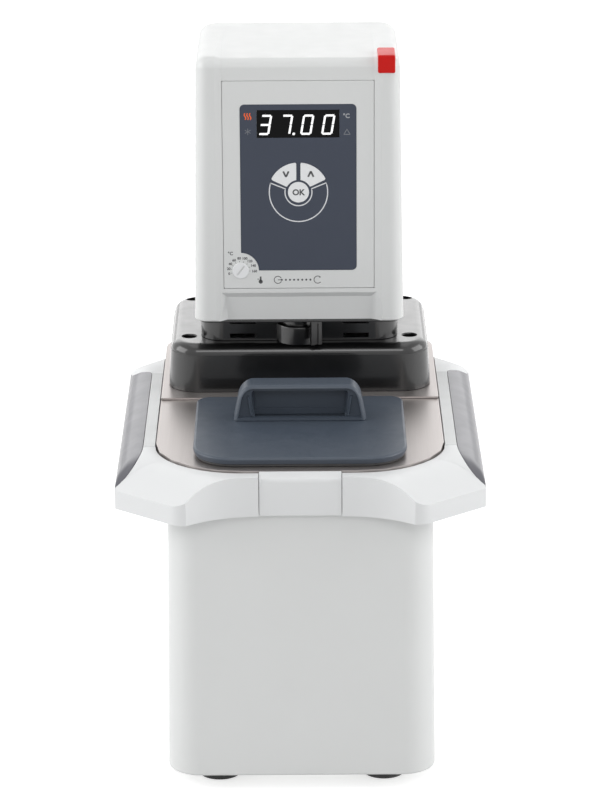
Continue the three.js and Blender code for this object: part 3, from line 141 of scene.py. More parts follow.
# The feet.
# Four round buffers of moulded rubber, each with a hollow for the screw that holds it
# under the base pan.
foot_radius = 0.014
foot_height = 0.010
foot_edge = 0.0015
foot_shoulder = 0.0012
foot_hollow = 0.0055
foot_hollow_mouth = 0.0062
foot_hollow_depth = 0.003
foot_hollow_edge = 0.0008
foot_collar = 0.002
foot_collar_slope = 0.001

surface_inputs = {
    "Colour": "Color", "Shade": "Color", "Grain Scale": "Float",
    "Smoothest": "Float", "Roughest": "Float", "Stretch": "Vector",
}
surface_outputs = {"Colour": "Color", "Roughness": "Float", "Height": "Float"}


def noise(tree, scale, detail, place):
    """A noise pattern at given coordinates."""
    pattern = tree.nodes.new("ShaderNodeTexNoise")
    set_inputs(pattern, {"Scale": scale, "Detail": detail})
    tree.links.new(place, pattern.inputs["Vector"])
    return pattern


def surface_effect(name, drift_scale, grain_detail, patch_scale=None):
    """A shader node group: a drifting colour, uneven roughness and a grain that can be stretched."""
    group = bpy.data.node_groups.new(name, "ShaderNodeTree")
    for end, sockets in (("INPUT", surface_inputs), ("OUTPUT", surface_outputs)):
        for label, kind in sockets.items():
            group.interface.new_socket(name=label, in_out=end, socket_type="NodeSocket" + kind)
    given = group.nodes.new("NodeGroupInput").outputs
    result = group.nodes.new("NodeGroupOutput").inputs
    link = group.links.new
    place = group.nodes.new("ShaderNodeTexCoord").outputs["Object"]
    stretched = group.nodes.new("ShaderNodeVectorMath")
    stretched.operation = "MULTIPLY"
    link(place, stretched.inputs[0])
    link(given["Stretch"], stretched.inputs[1])
    drift = noise(group, drift_scale, 3.0, place)
    grain = noise(group, 1.0, grain_detail, stretched.outputs[0])
    link(given["Grain Scale"], grain.inputs["Scale"])
    patch = noise(group, patch_scale, 2.0, place) if patch_scale else grain
    mix = group.nodes.new("ShaderNodeMix")
    mix.data_type = "RGBA"
    link(drift.outputs["Fac"], mix.inputs["Factor"])
    link(given["Colour"], mix.inputs[6])
    link(given["Shade"], mix.inputs[7])
    spread = group.nodes.new("ShaderNodeMapRange")
    set_inputs(spread, {"From Min": 0.3, "From Max": 0.7})
    link(patch.outputs["Fac"], spread.inputs["Value"])
    link(given["Smoothest"], spread.inputs["To Min"])
    link(given["Roughest"], spread.inputs["To Max"])
    link(mix.outputs[2], result["Colour"])
    link(spread.outputs["Result"], result["Roughness"])
    link(grain.outputs["Fac"], result["Height"])
    return group


moulded_surface = surface_effect("Moulded surface", 14.0, 2.0, 90.0)


def finished(
    name, colour, shade, grain, smoothest, roughest, depth,
    effect=moulded_surface, stretch=(1, 1, 1), metal=0.0, coat=0.0, gloss=0.5, glow=0.0,
):
    """A material whose colour, roughness and fine relief come from one of the effects."""
    material = bpy.data.materials.new(name)
    material.use_nodes = True
    tree = material.node_tree
    shader = tree.nodes["Principled BSDF"]
    surface = tree.nodes.new("ShaderNodeGroup")
    surface.node_tree = effect
    set_inputs(surface, {
        "Colour": (*colour, 1), "Shade": (*shade, 1), "Grain Scale": grain,
        "Smoothest": smoothest, "Roughest": roughest, "Stretch": stretch,
    })
    relief = tree.nodes.new("ShaderNodeBump")
    set_inputs(relief, {"Strength": 0.5, "Distance": depth})
    tree.links.new(surface.outputs["Height"], relief.inputs["Height"])
    tree.links.new(relief.outputs["Normal"], shader.inputs["Normal"])
    tree.links.new(surface.outputs["Colour"], shader.inputs["Base Color"])
    tree.links.new(surface.outputs["Roughness"], shader.inputs["Roughness"])
    set_inputs(shader, {
        "Metallic": metal, "Coat Weight": coat, "Coat Roughness": 0.12, "Specular IOR Level": gloss,
        "Emission Color": (*colour, 1), "Emission Strength": glow,
    })
    return material


finishes = {}
finishes["rubber"] = finished(
    "Foot rubber", (0.050, 0.050, 0.051), (0.064, 0.064, 0.065), 1800, 0.6, 0.8, 0.0001
)


def turned(bm, profile, centre=(0, 0, 0), steps=48):
    """A closed round shape: a profile of (radius, height) points, spun about an upright axis."""
    before = set(bm.verts)
    points = [bm.verts.new((radius, 0, height)) for radius, height in profile]
    edges = [bm.edges.new(pair) for pair in zip(points, points[1:])]
    bmesh.ops.spin(
        bm, geom=points + edges, cent=(0, 0, 0), axis=(0, 0, 1), angle=math.tau, steps=steps, use_merge=True
    )
    bmesh.ops.remove_doubles(bm, verts=[v for v in bm.verts if v not in before], dist=1e-6)
    bmesh.ops.translate(bm, vec=centre, verts=[v for v in bm.verts if v not in before])


def disc(bm, radius, low, high, centre, steps=64):
    """A round disc between two heights."""
    turned(bm, ((0, low), (radius, low), (radius, high), (0, high)), centre, steps)


def add_piece(name, bm, body, *nodes, slot=None, finish=None, smooth=35, even=True):
    """Makes a shape a piece on a body that stands for CAD nodes, in their slot unless one is given."""
    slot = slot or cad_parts[nodes[0]].material_slots[0].material.name.split(".")[0]
    bmesh.ops.recalc_face_normals(bm, faces=bm.faces)
    mesh = bpy.data.meshes.new(name)
    bm.to_mesh(mesh)
    bm.free()
    mesh.materials.append(finish or finishes[slot])
    mesh.shade_smooth()
    mesh.set_sharp_from_angle(angle=math.radians(smooth))
    piece = bpy.data.objects.new(name, mesh)
    scene.collection.objects.link(piece)
    if even:
        flats = piece.modifiers.new("flat faces stay flat", "WEIGHTED_NORMAL")
        flats.keep_sharp = True
    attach(piece, body)
    if nodes:
        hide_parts(*nodes)


foot_profile = (
    (0, foot_height),
    (foot_radius - foot_shoulder, foot_height),
    (foot_radius - foot_shoulder, foot_height - foot_collar),
    (foot_radius, foot_height - foot_collar - foot_collar_slope),
    (foot_radius, foot_edge),
    (foot_radius - foot_edge * 0.3, foot_edge * 0.3),
    (foot_radius - foot_edge, 0),
    (foot_hollow_mouth, 0),
    (foot_hollow, foot_hollow_edge),
    (foot_hollow, foot_hollow_depth),
    (0, foot_hollow_depth),
)
base_corners = ("front_left", "front_right", "rear_left", "rear_right")
for corner in base_corners:
    low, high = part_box("foot_" + corner)
    foot_bm = bmesh.new()
    turned(foot_bm, foot_profile, ((low.x + high.x) / 2, (low.y + high.y) / 2, 0))
    add_piece("rubber_foot_" + corner, foot_bm, "bath", "foot_" + corner)

# The casing.
# A wrapper of painted sheet steel with large round corners, a little wider at the foot,
# folded in under the base pan, which is plain zinc-plated sheet.
casing_low, casing_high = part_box("casing")
casing_flare = 0.0021
casing_wall = 0.0012
casing_corner = 0.020
casing_fold = 0.008
finishes["white_paint"] = finished(
    "White paint", (0.74, 0.75, 0.745), (0.70, 0.71, 0.705), 1500, 0.32, 0.42, 0.00003
)


def rounded_face(bm, width, front, back, front_radius, back_radius, height, steps=10):
    """A flat face with rounded corners. The front is towards -Y."""
    made = bmesh.ops.create_grid(bm, x_segments=1, y_segments=1, size=0.5)["verts"]
    middle = (front + back) / 2
    bmesh.ops.scale(bm, vec=(width, back - front, 1), verts=made)
    bmesh.ops.translate(bm, vec=(0, middle, height), verts=made)
    face = made[0].link_faces[0]
    front_corners = [v for v in made if v.co.y < middle]
    back_corners = [v for v in made if v.co.y > middle]
    for corners, radius in ((front_corners, front_radius), (back_corners, back_radius)):
        others = set(bm.faces) - {face}
        bmesh.ops.bevel(
            bm, geom=corners, offset=radius, offset_type="OFFSET", segments=steps, profile=0.5,
            affect="VERTICES", material=-1,
        )
        face = (set(bm.faces) - others).pop()
    return face


def corners_in_turn(face):
    """A rounded face's corners in their order, from the right end of its front edge rightwards."""
    corners = list(face.verts)
    first = min(range(len(corners)), key=lambda n: corners[n].co.y * 1000 - corners[n].co.x)
    corners = corners[first:] + corners[:first]
    if corners[1].co.x < corners[0].co.x:
        corners = corners[:1] + corners[:0:-1]
    return corners


def lofted(sections, steps=10, looped=False):
    """A skin through a run of rounded sections. Its two ends are closed, or joined to each other."""
    bm = bmesh.new()
    rings = []
    for number, section in enumerate(sections):
        face = rounded_face(bm, *section, steps=steps)
        rings.append(corners_in_turn(face))
        if looped or number not in (0, len(sections) - 1):
            bmesh.ops.delete(bm, geom=[face], context="FACES_ONLY")
    if looped:
        rings.append(rings[0])
    for lower, upper in zip(rings, rings[1:]):
        for n in range(len(lower)):
            bm.faces.new((lower[n - 1], lower[n], upper[n], upper[n - 1]))
    return bm


def inset_section(section, inset, height):
    """The same rounded section, smaller by an inset all round, at another height."""
    width, front, back, front_radius, back_radius, _ = section
    least = 0.0002
    radii = (max(front_radius - inset, least), max(back_radius - inset, least))
    return (width - 2 * inset, front + inset, back - inset, *radii, height)


def rounded_over(section, radius, steps=5, up=1):
    """Sections that carry a wall over a round edge of that radius, up or down to its flat."""
    height = section[5]
    turns = [math.radians(90) * n / steps for n in range(steps + 1)]
    return [
        inset_section(section, radius * (1 - math.cos(a)), height + up * radius * math.sin(a))
        for a in turns
    ]


foot_section = (
    casing_high.x - casing_low.x, casing_low.y, casing_high.y,
    casing_corner + casing_flare, casing_corner + casing_flare, casing_low.z,
)
top_section = inset_section(foot_section, casing_flare, casing_high.z)
fold_round = 0.0016
foot_edge_section = inset_section(foot_section, 0, casing_low.z + fold_round)
casing_sections = [inset_section(foot_section, casing_fold, casing_low.z)]
casing_sections += reversed(rounded_over(foot_edge_section, fold_round, up=-1))
casing_sections += [
    top_section,
    inset_section(top_section, casing_wall, casing_high.z),
    inset_section(foot_section, casing_wall, casing_low.z + casing_wall),
    inset_section(foot_section, casing_fold, casing_low.z + casing_wall),
]
add_piece("casing_shell", lofted(casing_sections, looped=True), "bath", "casing")

# The rim.
# A left and a right half of thick white plastic, and a narrow insert between them
# at the front and at the back. The halves widen to a point under each grip.
finishes["white_plastic"] = finished(
    "White plastic", (0.76, 0.77, 0.775), (0.72, 0.73, 0.735), 1900, 0.38, 0.5, 0.00004
)
flat_limit = math.radians(0.6)


def copy_of(node):
    """A CAD node's shape, merged, and with its flat faces whole again."""
    bm = bmesh.new()
    bm.from_mesh(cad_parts[node].data)
    bmesh.ops.remove_doubles(bm, verts=bm.verts, dist=2e-6)
    bmesh.ops.dissolve_limit(bm, angle_limit=flat_limit, verts=bm.verts, edges=bm.edges)
    return bm


def soften(bm, radius, steps=2, least=30, where=lambda edge: True):
    """Rounds the edges that are sharper than an angle, at least in degrees, where they are wanted."""
    edges = [
        e for e in bm.edges
        if len(e.link_faces) == 2 and e.calc_face_angle(0) > math.radians(least) and where(e)
    ]
    bmesh.ops.bevel(
        bm, geom=edges, offset=radius, offset_type="OFFSET", segments=steps, profile=0.5,
        affect="EDGES", clamp_overlap=True, material=-1,
    )


def eased(name, node, body, radius, least=45, steps=2):
    """A piece with the form of its CAD node and eased edges."""
    bm = copy_of(node)
    bmesh.ops.recalc_face_normals(bm, faces=bm.faces)
    soften(bm, radius, steps, least)
    add_piece(name, bm, body, node)


def extruded_along(bm, stations):
    """A solid drawn by carrying one section along a run of stations with the same corners."""
    first = [bm.verts.new(place) for place in stations[0]]
    end = bm.faces.new(first)
    places = [Vector(place) for place in stations[0]]
    for station in stations[1:]:
        end = bmesh.ops.extrude_discrete_faces(bm, faces=[end])["faces"][0]
        for vert in end.verts:
            nearest = min(range(len(places)), key=lambda n: (vert.co - places[n]).length)
            vert.index = nearest
        for vert in end.verts:
            vert.co = station[vert.index]
        places = [Vector(place) for place in station]
    bm.faces.new(first)


def solid_along(stations, radius, least, mirror=1):
    """A solid of its own along the stations, or its mirror image, with its edges rounded."""
    bm = bmesh.new()
    extruded_along(bm, stations)
    bmesh.ops.recalc_face_normals(bm, faces=bm.faces)
    soften(bm, radius, least=least)
    bmesh.ops.scale(bm, vec=(mirror, 1, 1), verts=bm.verts)
    return bm


def bent(start, pull, end, steps):
    """Points on a curve from start to end that is pulled towards a third point."""
    return [
        tuple((1 - t) ** 2 * a + 2 * (1 - t) * t * b + t * t * c for a, b, c in zip(start, pull, end))
        for t in (n / steps for n in range(steps + 1))
    ]


def nearest_on(outline, x, y):
    """The point of a rounded outline that is nearest to a point outside it."""
    half, front, back, front_radius, back_radius = outline
    radius = front_radius if y < (front + back) / 2 else back_radius
    core = Vector((
        min(max(x, -half + radius), half - radius),
        min(max(y, front + front_radius), back - back_radius),
    ))
    return core + (Vector((x, y)) - core).normalized() * radius


rim_low, rim_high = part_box("rim_right")
grip_low, grip_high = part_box("grip_right")
rim_edge = 0.0009
rim_top = rim_high.z
rim_foot = rim_low.z
rim_drop = 0.014
rim_drop_reach = 0.035
front_point = Vector((0.0792, rim_low.y))
front_side = Vector((rim_high.x, grip_low.y))
back_side = Vector((rim_high.x, grip_high.y))
back_point = Vector((0.084, rim_high.y))
scoop_end = Vector((rim_low.x, -0.15875))
point_round = 0.006
grip_inner = grip_low.x
grip_width = grip_high.x - grip_low.x
grip_ledge = 0.003
ledge_fall = 0.0003
deck_gap = 0.0007
front_dip = 0.0014
dip_end = -0.0935
deck_outline = (
    0.0948 + deck_gap, -0.14495 - deck_gap, 0.13565 + deck_gap, 0.058 + deck_gap, 0.020 + deck_gap
)
casing_outline = (0.0865, -0.15285, 0.13815, 0.0205, 0.0205)
casing_clear = casing_high.z + 0.0006


def corner_drop(x, y, start, end):
    """How far a cut corner has rounded down at a place, given the two ends of its edge."""
    along = (end - start).normalized()
    inward = Vector((-along.y, along.x))
    share = 1 - (Vector((x, y)) - start).dot(inward) / rim_drop_reach
    return rim_drop * min(max(share, 0), 1) ** 2


def rim_height(x, y):
    """The height of the rim's top, which rounds down along its sides and at its corners."""
    out = min(max((x - grip_inner) / grip_width, 0), 1)
    side_drop = rim_drop * (1 - math.sqrt(1 - out * out))
    return rim_top - max(
        side_drop, corner_drop(x, y, front_point, front_side), corner_drop(x, y, back_side, back_point)
    )


def rim_station(outer, inner_edge):
    """One section of the right rim half, from the deck out to its edge and back under it."""
    deck = nearest_on(deck_outline, *outer)
    casing = nearest_on(casing_outline, *outer)
    tops = [deck.lerp(Vector(inner_edge), n / 6) for n in range(7)]
    dip = front_dip if deck.y < dip_end else 0
    section = [(p.x, p.y, rim_height(p.x, p.y) - dip * (1 - n / 6) ** 2) for n, p in enumerate(tops)]
    return section + [
        (*inner_edge, rim_foot + grip_ledge), (*outer, rim_foot + grip_ledge - ledge_fall),
        (*outer, rim_foot), (*casing, rim_foot), (*casing, casing_clear), (*deck, casing_clear),
    ]


toward_side = (front_side - front_point).normalized()
scoop_start = front_point - Vector((point_round, 0))
scoop_pull = ((front_point.x + scoop_end.x) / 2, scoop_end.y)
edge_points = bent(scoop_end, scoop_pull, scoop_start, 14)
edge_points += bent(scoop_start, front_point, front_point + toward_side * point_round, 5)[1:]
edge_points += [tuple(front_point.lerp(front_side, share)) for share in (0.4, 0.7, 1.0)]
grip_tip = rim_high.x - 0.0003
grip_front = ((grip_tip, -0.1395), (0.1045, -0.1345), (grip_inner, -0.095))
grip_run = [(grip_inner, y) for y in (-0.0925, -0.03, 0.02, 0.062)]
grip_turn = ((grip_inner, 0.0690), (grip_inner, 0.0735), (0.1060, 0.0755))
grip_back = [(0.111, 0.0792), (0.115, 0.0829), (0.1172, 0.0875), (0.1187, 0.0955), (grip_tip, 0.108)]
grip_edge = bent(*grip_front, 9) + grip_run + bent(*grip_turn, 4) + grip_back
back_points = [(rim_high.x, 0.110), tuple(back_side)]
back_points += [tuple(back_side.lerp(back_point, share)) for share in (0.33, 0.67, 1.0)]
back_points += [(x, back_point.y) for x in (0.07, 0.05, rim_low.x)]
rim_stations = [rim_station(point, point) for point in edge_points]
rim_stations += [rim_station((rim_high.x, y), (x, y)) for x, y in grip_edge]
rim_stations += [rim_station(point, point) for point in back_points]
for side, mirror in (("right", 1), ("left", -1)):
    rim_bm = solid_along(rim_stations, rim_edge, 38, mirror)
    add_piece("rim_moulding_" + side, rim_bm, "bath", "rim_" + side)

insert_low, insert_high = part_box("rim_front_insert")
insert_edge = 0.0006
insert_nose = insert_low.y + 0.0014
nose_drop = 0.0015
nose_fall = 0.0047
insert_section = [
    (deck_outline[1], rim_top), (insert_nose, rim_top - nose_drop), (insert_low.y, rim_top - nose_fall),
    (insert_low.y, rim_foot), (casing_outline[1], rim_foot), (casing_outline[1], casing_clear),
    (deck_outline[1], casing_clear),
]
insert_stations = [[(x, y, z) for y, z in insert_section] for x in (insert_low.x, insert_high.x)]
insert_bm = solid_along(insert_stations, insert_edge, 25)
add_piece("rim_insert_front", insert_bm, "bath", "rim_front_insert")
eased("rim_insert_rear", "rim_rear_insert", "bath", insert_edge, least=30)

# The side grips.
# Long strips of glossy dark grey plastic that round off the outer edge of the rim, clipped
# into it from above, and a narrow white strip beside each that covers the clips. The strips'
# white is painted darker than the rim's, as painted shade.
finishes["grip_plastic"] = finished(
    "Grip plastic", (0.086, 0.086, 0.102), (0.080, 0.080, 0.096), 2600, 0.36, 0.42, 0.0000005, coat=0.42
)
grip_gap = 0.0004
grip_round = 0.0005
grip_least = 0.0002
grip_sink = 0.00002
grip_turns = [math.radians(n * 10) for n in range(10)]


def grip_station(x, y):
    """One section of the right grip, an arc from its inner edge out and down."""
    inner = min(x + grip_gap, rim_high.x - grip_least)
    arc = [inner + (rim_high.x - inner) * math.sin(turn) for turn in grip_turns]
    section = [(p, y, rim_height(p, y) - grip_sink) for p in arc]
    return section + [(rim_high.x, y, rim_foot + grip_ledge), (inner, y, rim_foot + grip_ledge)]


strip_rise = 0.00018
strip_left, strip_right = deck_outline[0] + 0.0001, grip_inner - 0.0002
strip_front, strip_back = -0.0940, 0.0705
# The rim's white plastic, painted darker for the strips as painted shade.
strip_plastic_painted_shade = finished(
    "Strip plastic with painted shade", (0.62, 0.63, 0.63), (0.59, 0.60, 0.60), 1900, 0.38, 0.5, 0.00004
)
for side, mirror in (("right", 1), ("left", -1)):
    grip_bm = solid_along([grip_station(x, y) for x, y in grip_edge], grip_round, 55, mirror)
    add_piece("grip_strip_" + side, grip_bm, "bath", "grip_" + side, smooth=50, even=False)
    strip_bm = bmesh.new()
    strip = bmesh.ops.create_cube(strip_bm, size=1)["verts"]
    strip_size = (strip_right - strip_left, strip_back - strip_front, strip_rise * 2)
    bmesh.ops.scale(strip_bm, vec=strip_size, verts=strip)
    strip_place = (mirror * (strip_left + strip_right) / 2, (strip_front + strip_back) / 2, rim_top)
    bmesh.ops.translate(strip_bm, vec=strip_place, verts=strip)
    soften(strip_bm, strip_rise * 0.6)
    add_piece("clip_strip_" + side, strip_bm, "bath", slot="white_plastic", finish=strip_plastic_painted_shade)

# The tank.
# Deep-drawn stainless steel: a deck with a folded edge all round, and the well below it.
# Its grinding runs front to back, and a steel cover closes the deck at the back.
brushed_metal = surface_effect("Brushed metal", 9.0, 3.0)


def brushed(name, colour, shade, stretch, smoothest=0.22, roughest=0.36, depth=0.00002, metal=1.0):
    """A ground metal whose scratches run along the axis that is stretched least."""
    return finished(
        name, colour, shade, 1.0, smoothest, roughest, depth,
        effect=brushed_metal, stretch=stretch, metal=metal,
    )


steel = brushed(
    "Brushed steel", (0.44, 0.407, 0.395), (0.41, 0.380, 0.368), (2400, 20, 2400), 0.34, 0.40, 0.0000005,
    metal=0.9,
)
for node in ("tank", "rear_cover_plate"):
    add_piece(node + "_sheet", copy_of(node), "bath", node, finish=steel, smooth=25)

# The lid.
# One moulding of slate grey plastic with a rounded edge and a lip below, which stands in the
# tank's opening and is held by its own weight.
finishes["slate_plastic"] = finished(
    "Slate plastic", (0.060, 0.076, 0.101), (0.054, 0.069, 0.092), 1700, 0.36, 0.46, 0.00004, gloss=0.45
)
lid_low, lid_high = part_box("lid")
lid_thickness = 0.0046
lid_edge = 0.0018
lid_front_corner = 0.027
lid_back_corner = 0.010
lid_section = (
    lid_high.x - lid_low.x, lid_low.y, lid_high.y, lid_front_corner, lid_back_corner, lid_high.z - lid_edge
)
lip_inset = 0.008
lip_wall = 0.0020
lip_edge = 0.0005
under_edge = 0.0010
lid_under = lid_high.z - lid_thickness
lid_sections = [
    inset_section(lid_section, inset, height) for inset, height in (
        (lip_inset + lip_wall, lid_under), (lip_inset + lip_wall, lid_low.z + lip_edge),
        (lip_inset + lip_wall - lip_edge, lid_low.z), (lip_inset + lip_edge, lid_low.z),
        (lip_inset, lid_low.z + lip_edge), (lip_inset, lid_under), (under_edge, lid_under),
    )
]
lid_sections += rounded_over(lid_section, lid_edge)
add_piece("lid_plate", lofted(lid_sections), "lid", "lid")

# The lid's handle.
# An arch of the same plastic, fixed on top of the lid. A raised band runs round its window,
# which a thin wall closes at the back.
handle_low, handle_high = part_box("lid_handle")
handle_top_half = 0.039
handle_corner = 0.0095
handle_round = 0.0030
handle_edge = 0.0009
sliver = 0.00002
handle_bar = 0.0042
handle_band = 0.0030
band_rise = 0.0034
band_flare = 0.0008
lip_half = 0.0008
lip_rise = 0.0018
lip_low_gap = 0.0008
lip_high_gap = 0.0040
handle_skin = 0.0024
handle_rail = 0.0022
rail_depth = 0.0030
window_half_low = 0.0314
window_half_high = 0.0335
window_corner = 0.0030
window_taper = 0.0022
overcut = 0.001


def carved(bm, *tools):
    """The shape with the tools' shapes cut out of it. A tool reaches past the face by the overcut."""
    stock = bpy.data.objects.new("stock", bpy.data.meshes.new("stock"))
    bmesh.ops.recalc_face_normals(bm, faces=bm.faces)
    bm.to_mesh(stock.data)
    bm.free()
    scene.collection.objects.link(stock)
    knives = []
    for tool in tools:
        knife = bpy.data.objects.new("knife", bpy.data.meshes.new("knife"))
        bmesh.ops.recalc_face_normals(tool, faces=tool.faces)
        tool.to_mesh(knife.data)
        tool.free()
        scene.collection.objects.link(knife)
        step = stock.modifiers.new("cut", "BOOLEAN")
        step.operation = "DIFFERENCE"
        step.solver = "EXACT"
        step.object = knife
        knives.append(knife)
    result = bmesh.new()
    result.from_object(stock, bpy.context.evaluated_depsgraph_get())
    for spent in [stock] + knives:
        bpy.data.objects.remove(spent)
    return result


def stand_up(bm):
    """Turns a shape drawn flat to stand on its front edge and face -Y."""
    quarter_turn = Matrix.Rotation(math.radians(90), 3, "X")
    bmesh.ops.rotate(bm, cent=(0, 0, 0), matrix=quarter_turn, verts=bm.verts)


def add_upright(name, bm, body, *nodes, slot=None, finish=None):
    """Stands a shape drawn flat up and makes it a piece."""
    stand_up(bm)
    add_piece(name, bm, body, *nodes, slot=slot, finish=finish)


def lean_in(bm, low, high, low_half, high_half):
    """Draws a shape's sides together so that they reach given half widths at two heights."""
    for v in bm.verts:
        share = (v.co.z - low) / (high - low)
        v.co.x *= (low_half + (high_half - low_half) * share) / low_half


handle_foot = handle_low.z + 0.00005
arch_foot_corner = 0.0004
arch_back_edge = 0.0012
arch_section = (
    handle_high.x - handle_low.x, handle_foot, handle_high.z,
    arch_foot_corner, handle_corner, -handle_high.y + arch_back_edge,
)
arch_front = inset_section(arch_section, 0, -handle_low.y - handle_round)
arch_sections = [inset_section(arch_section, arch_back_edge, -handle_high.y), arch_section]
arch_sections += rounded_over(arch_front, handle_round, steps=5)
handle_bm = lofted(arch_sections)
for v in handle_bm.verts:
    if v.co.y < handle_foot + handle_round * 1.2:
        v.co.y = handle_foot
stand_up(handle_bm)
lean_in(handle_bm, handle_low.z, handle_high.z, handle_high.x, handle_top_half)
pocket_front = (
    window_half_low * 2, handle_foot + handle_rail, handle_high.z - handle_bar, window_corner, window_corner
)
pocket_back = -handle_high.y + handle_skin
pocket_mouth = -handle_low.y + 2 * overcut
pocket = lofted([
    inset_section((*pocket_front, 0), window_taper, pocket_back), (*pocket_front, pocket_mouth)
])
stand_up(pocket)
lean_in(pocket, handle_low.z, handle_high.z, window_half_low, window_half_high)
trough_inset = 0.003
trough_height = 0.012
trough_corner = 0.001
trough_floor = pocket_back + 0.0005
trough_section = (
    window_half_low * 2 - trough_inset, handle_foot - overcut, handle_foot + trough_height,
    trough_corner, trough_corner,
)
trough = lofted([(*trough_section, trough_floor), (*trough_section, -handle_low.y - rail_depth)])
stand_up(trough)
inner_outline = inset_section(arch_section, handle_band, -handle_low.y - band_rise)
inner_outline = (inner_outline[0], handle_foot + handle_rail, *inner_outline[2:])
inner_face = lofted([inner_outline, inset_section(inner_outline, -band_flare, -handle_low.y + 2 * overcut)])
stand_up(inner_face)
lean_in(inner_face, handle_low.z, handle_high.z, handle_high.x, handle_top_half)
handle_bm = carved(handle_bm, inner_face, pocket, trough)
soften(
    handle_bm, handle_edge, steps=3, least=38,
    where=lambda e: all(v.co.z > handle_foot + overcut for v in e.verts),
)
bmesh.ops.remove_doubles(handle_bm, verts=handle_bm.verts, dist=sliver)
valley = handle_low.y + band_rise
lip_ends = (
    (window_half_low, handle_foot + handle_rail + lip_low_gap),
    (window_half_high, handle_high.z - handle_bar - lip_high_gap),
)
lip_profile = (
    (-1, overcut), (-1, -lip_rise * 0.6), (-0.5, -lip_rise),
    (0.5, -lip_rise), (1, -lip_rise * 0.6), (1, overcut),
)
for mirror in (1, -1):
    lip = []
    for half, height in lip_ends:
        centre = half + lip_half
        lip.append([
            (mirror * (centre + across * lip_half), valley + out, height) for across, out in lip_profile
        ])
    extruded_along(handle_bm, lip)
add_piece("lid_handle_arch", handle_bm, "lid", "lid_handle")

# The bridge.
# A hollow black moulding over the back of the tank. It carries the pump and the head,
# and four screws in deep wells hold it down.
finishes["black_plastic"] = finished(
    "Black plastic", (0.0020, 0.0020, 0.0023), (0.0032, 0.0032, 0.0035), 1600, 0.34, 0.42, 0.00003,
    coat=1.0, gloss=0.3,
)
bridge_low, bridge_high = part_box("bridge")
bridge_round = 0.007
bridge_draft = 0.0020
bridge_step = 0.0004
bridge_corner = 0.021
bridge_section = (
    bridge_high.x - bridge_low.x, bridge_low.y, bridge_high.y, bridge_corner, bridge_corner, bridge_low.z
)
bridge_shoulder = inset_section(bridge_section, bridge_draft, bridge_high.z - bridge_round)
bridge_side_top = inset_section(bridge_section, bridge_draft - bridge_step, bridge_high.z - bridge_round)
bridge_sections = [bridge_section, bridge_side_top]
bridge_sections += rounded_over(bridge_shoulder, bridge_round, steps=8)
bridge_bm = lofted(bridge_sections)

well_radius = 0.00475
well_floor = bridge_high.z - 0.026
well_mouth = well_radius + 0.0012
well_top = bridge_high.z + 2 * overcut
bevel_start = bridge_high.z - 0.0008
bevel_end = bridge_high.z + 0.0004
well_profile = (
    (0, well_floor), (well_radius, well_floor), (well_radius, bevel_start),
    (well_mouth, bevel_end), (well_mouth, well_top), (0, well_top),
)
wells = []
for corner in base_corners:
    low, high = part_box("bridge_screw_" + corner)
    well = bmesh.new()
    turned(well, well_profile, ((low.x + high.x) / 2, (low.y + high.y) / 2, 0), steps=32)
    wells.append(well)
bridge_bm = carved(bridge_bm, *wells)
add_piece("bridge_cover", bridge_bm, "bath", "bridge")

finishes["stainless"] = brushed(
    "Turned steel", (0.62, 0.61, 0.60), (0.56, 0.55, 0.54), (60, 60, 1500), 0.2, 0.3
)
screw_edge = 0.0003
for corner in base_corners:
    eased("bridge_screw_head_" + corner, "bridge_screw_" + corner, "bath", screw_edge, least=40)

# The neck.
# A low black drum between the bridge and the head, with air slots in its front
# and a round boss in front that carries the flow lever.
neck_edge = 0.0004
eased("neck_drum", "neck", "bath", neck_edge, least=40)
neck_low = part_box("neck")[0]
boss_radius = 0.0160
boss_centre = (0, neck_low.y + 0.0072, 0)
boss_height = 0.0125
boss_round = 0.0012
hub_radius = 0.0125
hub_height = 0.0162
boss_profile = (
    (0, neck_low.z), (boss_radius, neck_low.z), (boss_radius, neck_low.z + boss_height - boss_round),
    (boss_radius - boss_round * 0.3, neck_low.z + boss_height - boss_round * 0.3),
    (boss_radius - boss_round, neck_low.z + boss_height), (hub_radius, neck_low.z + boss_height),
    (hub_radius, neck_low.z + hub_height - boss_round * 0.5),
    (hub_radius - boss_round * 0.5, neck_low.z + hub_height), (0, neck_low.z + hub_height),
)
boss_bm = bmesh.new()
turned(boss_bm, boss_profile, boss_centre, steps=64)
shaft_low, shaft_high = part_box("diverter_shaft")
lever_room = 0.0139
lever_seat = neck_low.z + 0.0110
room_top = neck_low.z + 0.02
room_bm = bmesh.new()
room_centre = (0, (shaft_low.y + shaft_high.y) / 2, 0)
disc(room_bm, lever_room, lever_seat, room_top, room_centre)
boss_bm = carved(boss_bm, room_bm)
add_piece("lever_boss", boss_bm, "bath", slot="black_plastic")

# The flow lever.
# A short arm of black plastic, pressed on the shaft that turns in the boss.
lever_edge = 0.0007
eased("flow_lever_arm", "flow_lever", "flow_lever", lever_edge, least=40, steps=3)

# The head.
# One tall light grey moulding, closed by a black plate below. Its front has a shallow channel
# for the control panel that runs up over the top edge, and a deeper hollow at the chin.
finishes["grey_plastic"] = finished(
    "Light grey plastic", (0.70, 0.71, 0.705), (0.67, 0.68, 0.675), 1900, 0.36, 0.46, 0.00004
)
head_low, head_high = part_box("head_housing")
head_lean = 0.0027
head_round = 0.0078
head_edge = 0.0011
head_front_corner = 0.009
head_back_corner = 0.014
head_least_corner = 0.0005
head_foot_edge = 0.0008
head_wall = 0.003
head_front_wall = 0.010
hollow_step = 0.001
head_fall = 0.023
head_foot = head_low.z + 0.0026
head_height = head_high.z - head_low.z


